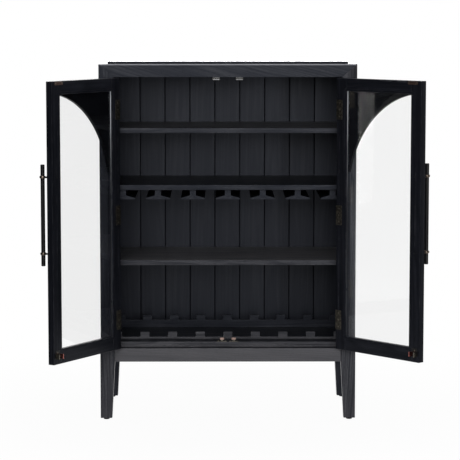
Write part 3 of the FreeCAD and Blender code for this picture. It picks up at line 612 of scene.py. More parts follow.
def painted_face_light(label, face):
    """How much painted light a face gets, by the way it faces."""
    if face.normal.y < -FACING_FRONT:
        return LIT_FRONTS.get(label, 0.0)
    if face.normal.z > FACING_UP:
        return LIT_TOPS.get(label, 0.0)
    return 0.0


def add_figure(bm, label, pitch=0.0):
    """Mark each corner's place in its board, each eased edge, and the painted light on each face."""
    bm.normal_update()
    grain = bm.loops.layers.float_vector.new("grain")
    edge = bm.faces.layers.float.new("edge")
    # The thin mark holds painted light on lit fronts and tops, not a thinner stain
    thin = bm.loops.layers.float.new("thin")
    for number, shell in enumerate(islands(bm)):
        low, high = corners([vert.co for face in shell for vert in face.verts])
        middle = (low + high) / 2
        span = high - low
        along, across, through = sorted(range(3), key=lambda axis: -span[axis])
        lies = {}
        for face in shell:
            board = round(face.calc_center_median().x / pitch) if pitch else 0
            if board not in lies:
                lies[board] = board_lie(label, number, board)
            shift, slant = lies[board]
            shift = shift.copy()
            shift.y -= board * pitch
            face[edge] = edge_highlight_and_wear(label, face)
            # The face's painted light, by the way it faces
            stain = painted_face_light(label, face)
            for loop in face.loops:
                # Above its lit height the leg gets no painted light
                faded = label in LEGS_LIT_FROM_BELOW and loop.vert.co.z > sizes().leg_fade - WELD
                loop[thin] = 0.0 if faded else stain
                place = loop.vert.co - middle
                aside = place[across] + slant * place[along]
                loop[grain] = Vector((place[along], aside, place[through])) + shift


def new_mesh(name, bm):
    """A plain mesh from a bmesh, smooth apart from its sharp edges."""
    bm.normal_update()
    for face in bm.faces:
        face.smooth = True
    for edge in bm.edges:
        edge.smooth = len(edge.link_faces) == 2 and edge.calc_face_angle() < SHARP_ANGLE
    mesh = bpy.data.meshes.new(name)
    bm.to_mesh(mesh)
    bm.free()
    return mesh


def new_object(name, data):
    """An object in the scene."""
    thing = bpy.data.objects.new(name, data)
    bpy.context.scene.collection.objects.link(thing)
    return thing


def add_piece(name, bm, nodes, finishes):
    """Stand a finished shape in for CAD nodes of one body."""
    body = body_of(nodes[0])
    bm.transform(shutting(body).inverted())
    mesh = new_mesh(name, bm)
    for title in finishes:
        mesh.materials.append(finish_of(title))
    piece = new_object(name, mesh)
    piece.modifiers.new("Even shading", "WEIGHTED_NORMAL").keep_sharp = True
    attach(piece, body)
    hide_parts(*nodes)


def add_hardware(side, piece, bm, finishes):
    """Finish a piece that was made for the right-hand door, on the side where it belongs."""
    if side == "left":
        bm.transform(MIRROR)
    bmesh.ops.recalc_face_normals(bm, faces=bm.faces)
    node = f"{side}_door_{piece}"
    add_piece(f"{node}_finished", bm, [node], finishes)


def add_both_sides(node, bm, finishes):
    """Finish right-hand pieces together with their left-hand twins."""
    twin = bm.copy()
    twin.transform(MIRROR)
    spare = bpy.data.meshes.new("twin")
    twin.to_mesh(spare)
    twin.free()
    bm.from_mesh(spare)
    bpy.data.meshes.remove(spare)
    bmesh.ops.recalc_face_normals(bm, faces=bm.faces)
    add_piece(f"{node}_finished", bm, [node], finishes)


def cut_across(bm, heights):
    """Cut the faces of a piece at some heights."""
    for height in heights:
        everything = [*bm.verts, *bm.edges, *bm.faces]
        bmesh.ops.bisect_plane(bm, geom=everything, plane_co=(0.0, 0.0, height), plane_no=UP)


def polish_top(bm):
    """Give the level top of a piece its second finish."""
    top = max(vert.co.z for vert in bm.verts)
    for face in bm.faces:
        if all(vert.co.z > top - WELD for vert in face.verts):
            face.material_index = 1


def add_board(node, pitch=0.0):
    """Dress one piece of woodwork: eased edges, and a figure of its own."""
    held = sizes()
    door = body_of(node) != CASE
    bm = shut_copy(node)
    bmesh.ops.dissolve_limit(
        bm, angle_limit=FLAT_ANGLE, verts=bm.verts, edges=bm.edges, use_dissolve_boundaries=False
    )
    if node in CROWNED:
        bevel(bm, crown_edges(bm, held.crown_round), held.crown_round, CROWN_STEPS)
    if door:
        bevel(bm, rear_edges(bm, held.door_arris), held.door_arris, ARRIS_STEPS)
    # Cut the leg where its painted light fades out
    if node in LEGS_LIT_FROM_BELOW:
        cut_across(bm, (held.leg_fade, LEG_LIGHT_FULL_SHARE * held.leg_fade))
    ease = held.door_ease if door else held.wood_ease
    bevel(bm, square_edges(bm, ease), ease, EASE_STEPS)
    add_figure(bm, node, pitch)
    woods = ["black oak"]
    if door:
        woods = ["door black oak"]
    elif node in CALM_BOARDS:
        woods = ["calm black oak"]
    elif node in POLISHED_BOARDS:
        woods = ["polished black oak"]
    elif node in CROWNED:
        woods.append("polished black oak")
        polish_top(bm)
    add_piece(f"{node}_finished", bm, [node], woods)


# Node trees


def feed(node, inputs):
    """Set or link some inputs of a node."""
    for key, value in inputs.items():
        if isinstance(value, bpy.types.NodeSocket):
            node.id_data.links.new(value, node.inputs[key])
        else:
            node.inputs[key].default_value = value


def add(tree, kind, inputs=None, **settings):
    """A node with its settings made, and its inputs set or linked."""
    node = tree.nodes.new(kind)
    for name, value in settings.items():
        setattr(node, name, value)
    feed(node, inputs or {})
    return node


def sum_of(tree, operation, *values):
    """The result of a sum on values."""
    return add(tree, "ShaderNodeMath", dict(enumerate(values)), operation=operation).outputs[0]


def plus(tree, first, second):
    """Two values added."""
    return sum_of(tree, "ADD", first, second)


def minus(tree, first, second):
    """One value less another."""
    return sum_of(tree, "SUBTRACT", first, second)


def times(tree, first, second):
    """Two values multiplied."""
    return sum_of(tree, "MULTIPLY", first, second)


def between(tree, value, low, high, start=0.0, end=1.0):
    """A value eased from one range into another."""
    inputs = {"Value": value, "From Min": low, "From Max": high, "To Min": start, "To Max": end}
    return add(tree, "ShaderNodeMapRange", inputs, interpolation_type="SMOOTHSTEP").outputs[0]


def mixed(tree, factor, first, second):
    """A colour between two."""
    inputs = {0: factor, 6: first, 7: second}
    return add(tree, "ShaderNodeMix", inputs, data_type="RGBA").outputs[2]


def noise(tree, place, scale, detail, roughness=0.5):
    """Clouds of a size and fineness."""
    inputs = {"Vector": place, "Scale": scale, "Detail": detail, "Roughness": roughness}
    return add(tree, "ShaderNodeTexNoise", inputs).outputs["Fac"]


def stretched(tree, place, scale):
    """A place with each of its axes scaled."""
    return add(tree, "ShaderNodeVectorMath", {0: place, 1: scale}, operation="MULTIPLY").outputs[0]


def new_group(name, kind, inputs, outputs):
    """An empty node group with its sockets, its input's outputs and its output."""
    tree = bpy.data.node_groups.new(name, kind)
    for way, sockets in (("INPUT", inputs), ("OUTPUT", outputs)):
        for title, socket in sockets.items():
            tree.interface.new_socket(title, in_out=way, socket_type=f"NodeSocket{socket}")
    return tree, add(tree, "NodeGroupInput").outputs, add(tree, "NodeGroupOutput")


def group(name):
    """A node group by its name, made the first time that it is wanted."""
    if name not in bpy.data.node_groups:
        NODE_GROUPS[name](name)
    return bpy.data.node_groups[name]


def group_node(tree, name, inputs):
    """The outputs of a shader node group, placed in a tree with its own values."""
    return add(tree, "ShaderNodeGroup", inputs, node_tree=group(name)).outputs


# Fineness of the wood's drift, fibres and breaks, along, across and through the board
DRIFT_SCALE = (1.3, 7.0, 7.0)
FIBRE_SCALE = (5.0, 330.0, 330.0)
BREAK_SCALE = (3.5, 60.0, 60.0)

# How far the rings wander, and how much less they do so through the board
RING_WANDER = 0.085
WANDER_THROUGH = 0.6

# What rings and fibres give to the figure, and what pores there are outside a ring's early wood
RING_SHARE = 0.62
FIBRE_SHARE = 0.38
LATE_PORES = 0.2
FIBRE_RELIEF = 0.35

# Where along a ring its early wood sets in and ends, and where in their noise other marks set in
RING_RISE = (0.0, 0.22)
RING_FALL = (0.35, 1.0, 1.0, 0.0)
BREAK_RANGE = (0.32, 0.68)
FIBRE_RANGE = (0.34, 0.66)
PORE_RANGE = (0.56, 0.66)


def grain_tree(name):
    """Growth rings and open pores of a ring-porous wood, by place in the board."""
    tree, given, result = new_group(
        name, "ShaderNodeTree",
        {"Place": "Vector", "Ring spacing": "Float", "Pore length": "Float", "Pore width": "Float"},
        {"Figure": "Float", "Pores": "Float", "Height": "Float"},
    )
    place = given["Place"]

    def drawn_out(scale, detail):
        """Noise drawn out along the board."""
        return noise(tree, stretched(tree, place, scale), 1.0, detail)

    wander = times(tree, minus(tree, drawn_out(DRIFT_SCALE, detail=3.0), 0.5), RING_WANDER)
    parts = add(tree, "ShaderNodeSeparateXYZ", {0: place}).outputs
    across = plus(tree, parts[1], wander)
    depth = plus(tree, parts[2], times(tree, wander, WANDER_THROUGH))
    squares = plus(tree, sum_of(tree, "POWER", across, 2.0), sum_of(tree, "POWER", depth, 2.0))
    radius = sum_of(tree, "SQRT", squares)
    ring = sum_of(tree, "FRACT", sum_of(tree, "DIVIDE", radius, given["Ring spacing"]))
    early = times(tree, between(tree, ring, *RING_RISE), between(tree, ring, *RING_FALL))
    breaks = between(tree, drawn_out(BREAK_SCALE, detail=2.0), *BREAK_RANGE)
    rings = times(tree, times(tree, early, breaks), RING_SHARE)
    streaks = drawn_out(FIBRE_SCALE, detail=3.0)
    fibres = times(tree, between(tree, streaks, *FIBRE_RANGE), FIBRE_SHARE)
    pore = [sum_of(tree, "DIVIDE", 1.0, given[title]) for title in ("Pore length", "Pore width")]
    fineness = add(tree, "ShaderNodeCombineXYZ", {0: pore[0], 1: pore[1], 2: pore[1]}).outputs[0]
    open_pores = between(tree, drawn_out(fineness, detail=1.0), *PORE_RANGE)
    crowding = plus(tree, times(tree, early, 1.0 - LATE_PORES), LATE_PORES)
    pores = times(tree, open_pores, crowding)
    height = minus(tree, times(tree, streaks, FIBRE_RELIEF), pores)
    feed(result, {"Figure": plus(tree, rings, fibres), "Pores": pores, "Height": height})


def wear_and_highlight_tree(name):
    """Wear and painted highlight in patches on eased edges, and faint clouding all over."""
    patch_range, full_edge_highlight, cloud_scale = (0.40, 0.70), 1.8, 0.2
    tree, given, result = new_group(
        name, "ShaderNodeTree",
        {"Place": "Vector", "Edge": "Float", "Scale": "Float"}, {"Wear": "Float", "Clouds": "Float"},
    )
    patches = between(tree, noise(tree, given["Place"], given["Scale"], detail=4.0), *patch_range)
    # A painted highlight along the edges marked most
    line = between(tree, given["Edge"], 1.0, EDGE_HIGHLIGHT_MOST, 0.0, full_edge_highlight)
    wear = sum_of(tree, "MAXIMUM", times(tree, patches, given["Edge"]), line)
    clouds = noise(tree, given["Place"], times(tree, given["Scale"], cloud_scale), detail=3.0)
    feed(result, {"Wear": wear, "Clouds": clouds})


def patina_tree(name):
    """Tarnish and fine scratches on handled metal."""
    tarnish_range, scratch_scale, scratch_stretch = (0.36, 0.68), 9.0, (1.0, 1.0, 0.12)
    tree, given, result = new_group(
        name, "ShaderNodeTree",
        {"Place": "Vector", "Scale": "Float"}, {"Tarnish": "Float", "Scratches": "Float"},
    )
    clouds = noise(tree, given["Place"], given["Scale"], detail=5.0, roughness=0.62)
    drawn = stretched(tree, given["Place"], scratch_stretch)
    scratches = noise(tree, drawn, times(tree, given["Scale"], scratch_scale), detail=2.0)
    feed(result, {"Tarnish": between(tree, clouds, *tarnish_range), "Scratches": scratches})


# Finishes


def new_material(name):
    """The tree and shader of a new material."""
    material = bpy.data.materials.new(name)
    material.use_nodes = True
    tree = material.node_tree
    tree.nodes.clear()
    shader = add(tree, "ShaderNodeBsdfPrincipled")
    add(tree, "ShaderNodeOutputMaterial", {"Surface": shader.outputs[0]})
    return tree, shader


def show(tree, surface):
    """Make a shader the surface of its material."""
    feed(tree.nodes["Material Output"], {"Surface": surface.outputs[0]})


def opaque(shade):
    """A colour with its alpha."""
    return (*shade, 1.0)


def tinted(shade, factor):
    """A colour made lighter or darker, with its alpha."""
    return opaque([min(1.0, factor * value) for value in shade])


def object_place(tree):
    """The place of a point on its piece."""
    return add(tree, "ShaderNodeTexCoord").outputs["Object"]


def marked(tree, name):
    """What was marked on a piece under a name."""
    return add(tree, "ShaderNodeAttribute", attribute_name=name).outputs


def drifting(tree, clouds, low, spread):
    """A roughness that drifts with clouds."""
    return plus(tree, low, times(tree, clouds, spread))


def bumped(tree, shader, height, strength, distance):
    """Relief on a shader's surface."""
    inputs = {"Height": height, "Strength": strength, "Distance": distance}
    feed(shader, {"Normal": add(tree, "ShaderNodeBump", inputs).outputs[0]})


def stained_oak(name, figure, roughness, gloss, lacquer, tone):
    """Black-stained open-grain wood under thin satin lacquer, with more or less of a figure."""
    wear_scale, edge_highlight_share, pore_dark, pore_matt = 38.0, 0.5, 0.7, 0.8
    face_light_range, relief = (-0.4, 0.7), 0.35
    look = finish()
    tree, shader = new_material(name)
    place = marked(tree, "grain")["Vector"]
    thin = marked(tree, "thin")["Fac"]
    grain = group_node(tree, "Open grain", {
        "Place": place, "Ring spacing": look.ring_spacing,
        "Pore length": look.pore_length, "Pore width": look.pore_width,
    })
    worn = group_node(tree, "Rubbed edges", {
        "Place": place, "Edge": marked(tree, "edge")["Fac"], "Scale": wear_scale,
    })
    shown = plus(tree, 0.5 * (1 - figure), times(tree, grain["Figure"], figure))
    pores = times(tree, grain["Pores"], figure)
    stained = mixed(tree, shown, tinted(look.oak_dark, tone), tinted(look.oak_light, tone))
    # Painted light: faces marked thin are mixed towards a pale colour, not stained thinner
    face_light_mask = times(tree, thin, between(tree, shown, *face_light_range))
    faded = mixed(tree, face_light_mask, stained, opaque(look.oak_thin))
    pored = mixed(tree, times(tree, pores, pore_dark), faded, opaque(look.oak_dark))
    # Painted highlight and wear: eased edges mixed towards a pale grey
    rubbed = mixed(tree, times(tree, worn["Wear"], edge_highlight_share), pored, opaque(look.oak_worn))
    filled = minus(tree, 1.0, times(tree, pores, pore_matt))
    feed(shader, {
        "Base Color": rubbed,
        "Roughness": drifting(tree, worn["Clouds"], low=getattr(look, roughness) - 0.05, spread=0.1),
        "Coat Weight": times(tree, times(tree, shown, lacquer), filled),
        "Coat Roughness": look.lacquer_roughness,
        "Specular IOR Level": gloss,
        "Specular Tint": opaque(look.lacquer_gleam),
    })
    bumped(tree, shader, grain["Height"], strength=relief * figure, distance=0.0003)


def old_metal(name, bright, dark, roughness, tarnish):
    """A metal with tarnish and fine scratches."""
    patina_scale = 120.0
    look = finish()
    tree, shader = new_material(name)
    old = group_node(tree, "Patina", {"Place": object_place(tree), "Scale": patina_scale})
    amount = times(tree, old["Tarnish"], tarnish)
    feed(shader, {
        "Base Color": mixed(tree, amount, opaque(getattr(look, bright)), opaque(getattr(look, dark))),
        "Roughness": drifting(tree, old["Tarnish"], low=roughness - 0.06, spread=0.16),
        "Metallic": 1.0,
    })
    bumped(tree, shader, old["Scratches"], strength=0.1, distance=0.0002)


def moulded(name, shade, roughness, coat, gloss):
    """Moulded plastic or enamel, with a fine pebble and faint clouding."""
    pebble_scale, cloud_tint, coat_roughness = 420.0, 1.45, 0.16
    shade = getattr(finish(), shade)
    tree, shader = new_material(name)
    inputs = {"Place": object_place(tree), "Edge": 1.0, "Scale": pebble_scale}
    worn = group_node(tree, "Rubbed edges", inputs)
    feed(shader, {
        "Base Color": mixed(tree, worn["Clouds"], opaque(shade), tinted(shade, cloud_tint)),
        "Roughness": drifting(tree, worn["Clouds"], low=roughness - 0.06, spread=0.12),
        "Specular IOR Level": gloss,
        "Coat Weight": coat,
        "Coat Roughness": coat_roughness,
    })
    bumped(tree, shader, worn["Wear"], strength=0.12, distance=0.0001)


def glazing_seal(name):
    """Clear seal that beds the panes in their beads, dark low down, painted highlight towards the top."""
    seal_cloud_scale, lit_power = 60.0, 1.6
    lit_break_range, sheen_range = (0.1, 0.7, 0.7, 1.0), (0.2, 0.8, 0.22, 0.38)
    look = finish()
    tree, shader = new_material(name)
    place = object_place(tree)
    height = add(tree, "ShaderNodeSeparateXYZ", {0: place}).outputs["Z"]
    # Painted highlight: paler with height, standing in for the lamp mirrored in the seal
    lit_by_height = sum_of(tree, "POWER", between(tree, height, look.seal_low, look.seal_high), lit_power)
    worn = group_node(tree, "Rubbed edges", {"Place": place, "Edge": 1.0, "Scale": seal_cloud_scale})
    # Clouds break up the painted highlight
    lit_mask = times(tree, lit_by_height, between(tree, worn["Clouds"], *lit_break_range))
    feed(shader, {
        "Base Color": mixed(tree, lit_mask, opaque(look.seal_grey), opaque(look.seal_pale)),
        "Roughness": between(tree, worn["Clouds"], *sheen_range),
    })
    bumped(tree, shader, worn["Wear"], strength=0.1, distance=0.0002)


def clear_glass(name):
    """Clear window glass that lets lamps through."""
    cloud_scale, cloud_tint = 3.0, 0.985
    tint = finish().glass_tint
    tree, shader = new_material(name)
    clouds = noise(tree, object_place(tree), cloud_scale, detail=2.0)
    feed(shader, {
        "Base Color": mixed(tree, clouds, opaque(tint), tinted(tint, cloud_tint)),
        "Roughness": 0.0,
        "IOR": 1.5,
        "Transmission Weight": 1.0,
    })
    through = add(tree, "ShaderNodeBsdfTransparent", {"Color": opaque(tint)})
    shadow = add(tree, "ShaderNodeLightPath").outputs["Is Shadow Ray"]
    inputs = {0: shadow, 1: shader.outputs[0], 2: through.outputs[0]}
    show(tree, add(tree, "ShaderNodeMixShader", inputs))


def seen_ray(tree):
    """One for the rays that show the background: straight, mirrored or through glass, but not both."""
    path = add(tree, "ShaderNodeLightPath").outputs
    mirrored = sum_of(tree, "MAXIMUM", path["Is Camera Ray"], path["Is Glossy Ray"])
    shown = sum_of(tree, "MAXIMUM", mirrored, path["Is Transmission Ray"])
    bounced = sum_of(tree, "MINIMUM", path["Glossy Depth"], 1.0)
    both = times(tree, path["Is Transmission Ray"], bounced)
    return times(tree, shown, minus(tree, 1.0, both))


def pale_floor(name):
    """Pale floor that keeps the shade under the cabinet and fades to white around it."""
    look = stage()
    tree, shader = new_material(name)
    away = add(tree, "ShaderNodeVectorMath", {0: object_place(tree)}, operation="LENGTH").outputs["Value"]
    fade = between(tree, away, look.floor_near, look.floor_far, look.floor_glow, 1.0)
    white = add(tree, "ShaderNodeEmission", {"Color": WHITE, "Strength": 1.0})
    inputs = {0: times(tree, fade, seen_ray(tree)), 1: shader.outputs[0], 2: white.outputs[0]}
    show(tree, add(tree, "ShaderNodeMixShader", inputs))
    feed(shader, {
        "Base Color": opaque(look.floor_colour), "Roughness": 0.9, "Specular IOR Level": 0.0,
    })


def dark_flat(name):
    """Even dark grey of the flats beside the cabinet."""
    tree, shader = new_material(name)
    inputs = {"Color": WHITE, "Strength": stage().flat_light}
    show(tree, add(tree, "ShaderNodeEmission", inputs))
    tree.nodes.remove(shader)


# How each finish is made. Woods: share of figure, roughness, gloss, lacquer and tone of the stain.
# Metals: colour, colour of the tarnish, roughness and amount of tarnish. Plastics and enamel: colour,
# roughness, coat and gloss
FINISHES = {
    "black oak": (stained_oak, 1.0, "oak_roughness", 0.2, 0.34, 1.0),
    "calm black oak": (stained_oak, 0.35, "oak_roughness", 0.2, 0.34, 1.0),
    "polished black oak": (stained_oak, 0.2, "top_roughness", 0.1, 0.1, 1.0),
    "door black oak": (stained_oak, 0.8, "door_roughness", 0.08, 0.1, 1.6),
    # The arch's oak at a darker tone is painted shade
    "arch black oak": (stained_oak, 0.8, "door_roughness", 0.05, 0.05, 0.4),
    "hinge brass": (old_metal, "brass", "brass_dark", 0.42, 0.8),
    "screw brass": (old_metal, "screw_brass", "brass_dark", 0.34, 0.5),
    "collar brass": (old_metal, "collar_brass", "brass_dark", 0.26, 0.6),
    "copper plate": (old_metal, "copper", "copper_dark", 0.33, 0.6),
    "strike bronze": (old_metal, "strike", "strike_dark", 0.45, 0.6),
    "prong bronze": (old_metal, "bronze", "bronze_dark", 0.45, 0.6),
    "pole steel": (old_metal, "pole_grey", "pole_dull", 0.32, 0.3),
    "pin steel": (old_metal, "pin_steel", "pole_dull", 0.28, 0.4),
    "handle black": (moulded, "handle_black", 0.34, 0.1, 0.2),
    "catch grey": (moulded, "magnet_grey", 0.5, 0.0, 0.5),
    "glide black": (moulded, "glide_black", 0.46, 0.0, 0.1),
    "glazing seal": (glazing_seal,),
    "clear glass": (clear_glass,),
    "pale floor": (pale_floor,),
    "dark flat": (dark_flat,),
}


def finish_of(name):
    """A finish by its name, made the first time that it is wanted."""
    if name not in bpy.data.materials:
        make, *values = FINISHES[name]
        make(name, *values)
    return bpy.data.materials[name]


# Geometry node trees


def put_out(tree, given, result, shape):
    """Put a shape out as a plain mesh, in the finish that the group was given."""
    real = add(tree, "GeometryNodeRealizeInstances", {"Geometry": shape.outputs[0]}).outputs[0]
    painted = add(tree, "GeometryNodeSetMaterial", {"Geometry": real, "Material": given["Finish"]})
    feed(result, {"Mesh": painted.outputs[0]})


def point_tree(name):
    """Sets a pattern on each point, facing the point's own way."""
    tree, given, result = new_group(
        name, "GeometryNodeTree",
        {"Points": "Geometry", "Pattern": "Object", "Twist": "Float", "Seed": "Int", "Finish": "Material"},
        {"Mesh": "Geometry"},
    )
    pattern = add(tree, "GeometryNodeObjectInfo", {"Object": given["Pattern"]}).outputs["Geometry"]
    way = add(tree, "GeometryNodeInputNamedAttribute", {"Name": "way"}, data_type="FLOAT_VECTOR")
    facing = add(tree, "FunctionNodeAlignRotationToVector", {"Vector": way.outputs[0]}, axis="Z")
    inputs = {2: 0.0, 3: given["Twist"], "Seed": given["Seed"]}
    angle = add(tree, "FunctionNodeRandomValue", inputs, data_type="FLOAT").outputs[1]
    spin = add(tree, "FunctionNodeAxisAngleToRotation", {"Axis": UP, "Angle": angle}).outputs[0]
    inputs = {"Rotation": facing.outputs[0], "Rotate By": spin}
    turn = add(tree, "FunctionNodeRotateRotation", inputs, rotation_space="LOCAL").outputs[0]
    inputs = {"Points": given["Points"], "Instance": pattern, "Rotation": turn}
    put_out(tree, given, result, add(tree, "GeometryNodeInstanceOnPoints", inputs))


def moulding_tree(name):
    """Runs a moulding's section along a line, with its ends closed."""
    tree, given, result = new_group(
        name, "GeometryNodeTree",
        {"Line": "Geometry", "Section": "Object", "Finish": "Material"}, {"Mesh": "Geometry"},
    )
    section = add(tree, "GeometryNodeObjectInfo", {"Object": given["Section"]}).outputs["Geometry"]
    line = add(tree, "GeometryNodeMeshToCurve", {"Mesh": given["Line"]}).outputs[0]
    level = add(tree, "GeometryNodeSetCurveNormal", {"Curve": line}, mode="Z_UP").outputs[0]
    inputs = {"Curve": level, "Profile Curve": section, "Fill Caps": True}
    put_out(tree, given, result, add(tree, "GeometryNodeCurveToMesh", inputs))


NODE_GROUPS = {
    "Open grain": grain_tree,
    "Rubbed edges": wear_and_highlight_tree,
    "Patina": patina_tree,
    "Set on points": point_tree,
    "Run a moulding": moulding_tree,
}


def made_by_nodes(tree, start, values):
    """The plain mesh that a node tree makes of a starting mesh."""
    holder = new_object(tree.name, start)
    modifier = holder.modifiers.new(tree.name, "NODES")
    modifier.node_group = tree
    for item in tree.interface.items_tree:
        if item.item_type == "SOCKET" and item.in_out == "INPUT" and item.name in values:
            modifier[item.identifier] = values[item.name]
    graph = bpy.context.evaluated_depsgraph_get()
    made = bpy.data.meshes.new_from_object(
        holder.evaluated_get(graph), preserve_all_data_layers=True, depsgraph=graph
    )
    holder.modifiers.clear()
    bpy.data.objects.remove(holder)
    if not made.polygons:
        raise RuntimeError(f"The tree {tree.name} made nothing.")
    return made


def pattern_object(name, bm):
    """A pattern for a node tree, left out of the finished scene."""
    bmesh.ops.recalc_face_normals(bm, faces=bm.faces)
    return new_object(name, new_mesh(name, bm))


def set_on_points(bm, pattern, places, title, twist=0.0, seed=1):
    """Add a pattern to a mesh at each (point, way), by the node tree."""
    start = bpy.data.meshes.new("points")
    start.from_pydata([point for point, way in places], [], [])
    ways = start.attributes.new("way", "FLOAT_VECTOR", "POINT")
    ways.data.foreach_set("vector", [value for point, way in places for value in way])
    values = {"Pattern": pattern, "Twist": twist, "Seed": seed, "Finish": finish_of(title)}
    made = made_by_nodes(group("Set on points"), start, values)
    bm.from_mesh(made)
    bpy.data.meshes.remove(made)


def remove_pattern(pattern):
    """Take a pattern out of the scene."""
    data = pattern.data
    bpy.data.objects.remove(pattern)
    if isinstance(data, bpy.types.Mesh):
        bpy.data.meshes.remove(data)
    else:
        bpy.data.curves.remove(data)


# Woodwork


class CABINET_OT_case_frame(bpy.types.Operator):
    """Dress the posts, rails and aprons of the case"""

    bl_idname = "cabinet.case_frame"
    bl_label = "Case frame"

    def execute(self, context):
        for node in CASE_FRAME:
            add_board(node)
        return {"FINISHED"}


class CABINET_OT_case_boards(bpy.types.Operator):
    """Dress the sides, floor, top and shelves, and the grooved back"""

    bl_idname = "cabinet.case_boards"
    bl_label = "Boards and shelves"

    def execute(self, context):
        for node in CASE_BOARDS:
            add_board(node)
        add_board("back_panel", sizes().board_pitch)
        return {"FINISHED"}


class CABINET_OT_bottle_rack(bpy.types.Operator):
    """Dress the two notched rails that carry bottles"""

    bl_idname = "cabinet.bottle_rack"
    bl_label = "Bottle rack"

    def execute(self, context):
        for node in BOTTLE_RAILS:
            add_board(node)
        return {"FINISHED"}


def stem_section(width, drop):
    """Section of a stemware rail: an upright with a flange that thins towards its edges."""
    held = sizes()
    half = width / 2
    web = held.stem_web / 2
    right = [(web, 0.0), (web, held.stem_root - drop), (half, held.stem_tip - drop), (half, -drop)]
    left = [(-across, up) for across, up in reversed(right)]
    outer = held.stem_round
    inner = 2 * outer
    return rounded(right + left, [0.0, inner, outer, outer, outer, outer, inner, 0.0])


def add_stem_rail(node):
    """A stemware rail, run by the node tree along the length of its solid."""
    low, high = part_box(node)
    outline = stem_section(high.x - low.x, high.z - low.z)
    curve = bpy.data.curves.new("stem rail section", "CURVE")
    spline = curve.splines.new("POLY")
    spline.points.add(len(outline) - 1)
    for point, place in zip(spline.points, outline):
        point.co = (place.x, -place.y, 0.0, 1.0)
    spline.use_cyclic_u = True
    section = new_object("stem rail section", curve)
    middle = (low.x + high.x) / 2
    start = bpy.data.meshes.new("stem rail line")
    start.from_pydata([(middle, low.y, high.z), (middle, high.y, high.z)], [(0, 1)], [])
    values = {"Section": section, "Finish": finish_of("black oak")}
    made = made_by_nodes(group("Run a moulding"), start, values)
    remove_pattern(section)
    bm = bmesh.new()
    bm.from_mesh(made)
    bpy.data.meshes.remove(made)
    bmesh.ops.remove_doubles(bm, verts=bm.verts, dist=WELD)
    bmesh.ops.recalc_face_normals(bm, faces=bm.faces)
    add_figure(bm, node)
    add_piece(f"{node}_finished", bm, [node], ["black oak"])


class CABINET_OT_stem_rails(bpy.types.Operator):
    """Run the moulded rails that hold stemware by the foot"""

    bl_idname = "cabinet.stem_rails"
    bl_label = "Stemware rails"

    def execute(self, context):
        for node in STEM_RAILS:
            add_stem_rail(node)
        return {"FINISHED"}


# Doors


def arch_outline(low, high):
    """Spandrel over a round arch that springs at the hinge stile and crowns between the doors."""
    held = sizes()
    crown = high.z - held.arch_head
    tip = high.x - held.arch_tip
    centre = (tip**2 + low.z**2 - low.x**2 - crown**2) / (2 * (low.z - crown))
    radius = math.hypot(low.x, crown - centre)
    start = math.degrees(math.atan2(low.z - centre, tip))
    end = math.degrees(math.atan2(crown - centre, low.x))
    curve = arc((0.0, centre), radius, start, end, ARCH_STEPS)
    return curve + [(low.x, high.z), (high.x, high.z), (high.x, low.z)]


def add_arch(side):
    """The spandrel of a door, its curve drawn true."""
    low, high = door_box(side, "arch_panel")
    bm = bmesh.new()
    plate(bm, arch_outline(low, high), low.y, high.y, sizes().door_ease, ALONG_Y)
    add_figure(bm, f"{side} arch")
    # The spandrel's darker oak is painted shade
    add_hardware(side, "arch_panel", bm, ["arch black oak"])


def framed(bm, low, high, section, material):
    """Run a section of (inward, rearward) points round a pane, mitred at the corners."""
    rings = []
    for x, z, in_x, in_z in (
        (low.x, low.z, 1, 1), (high.x, low.z, -1, 1), (high.x, high.z, -1, -1), (low.x, high.z, 1, -1),
    ):
        rings.append([
            bm.verts.new((x + in_x * inward, low.y + rearward, z + in_z * inward))
            for inward, rearward in section
        ])
    for face in skin(bm, rings, closed=True):
        face.material_index = material


def add_beads(side):
    """The mitred beads round a pane, with a rounded open corner, and the seal under them."""
    held = sizes()
    seal_lip = 0.0002
    node = f"{side}_door_glazing_beads"
    low, high = right_hand(*corners([point for points in solids(node) for point in points]))
    width = door_box(side, "meeting_stile")[1].x - low.x
    thick = high.y - low.y
    points = [(0, 0), (width, 0), (width, thick), (0, thick)]
    bm = bmesh.new()
    framed(bm, low, high, rounded(points, [0, 0, held.bead_round, 0]), 0)
    inner = width - held.seal_toe
    outer = width + held.seal_toe
    rise = held.seal_rise
    framed(bm, low, high, [(inner, 0), (outer, 0), (width + seal_lip, rise), (inner, rise)], 1)
    add_figure(bm, f"{side} bead")
    add_hardware(side, "glazing_beads", bm, ["door black oak", "glazing seal"])


class CABINET_OT_door_frames(bpy.types.Operator):
    """Dress the stiles, rails, arches and glazing beads of the doors"""

    bl_idname = "cabinet.door_frames"
    bl_label = "Door frames"

    def execute(self, context):
        for side in SIDES:
            for piece in DOOR_WOOD:
                add_board(f"{side}_door_{piece}")
            add_arch(side)
            add_beads(side)
        return {"FINISHED"}


class CABINET_OT_panes(bpy.types.Operator):
    """Glaze the doors"""

    bl_idname = "cabinet.panes"
    bl_label = "Panes"

    def execute(self, context):
        for side in SIDES:
            pane = frame["nodes"][f"{side}_door_glass"]
            for slot in pane.material_slots:
                slot.material = finish_of("clear glass")
        return {"FINISHED"}


# Handles

# Rounding of a bar's ends, as a share of its radius
BAR_END = 0.3

# Where a post's waist ends, by its depth, how far it flares, by its waist, and how far above the door,
# by the rosette's height
WAIST_END = 0.55
FLARE = 1.25
FLARE_LIFT = 1.8

# Slope and rim of a rosette
ROSETTE_SLOPE = 0.0006
ROSETTE_RIM = 0.0008


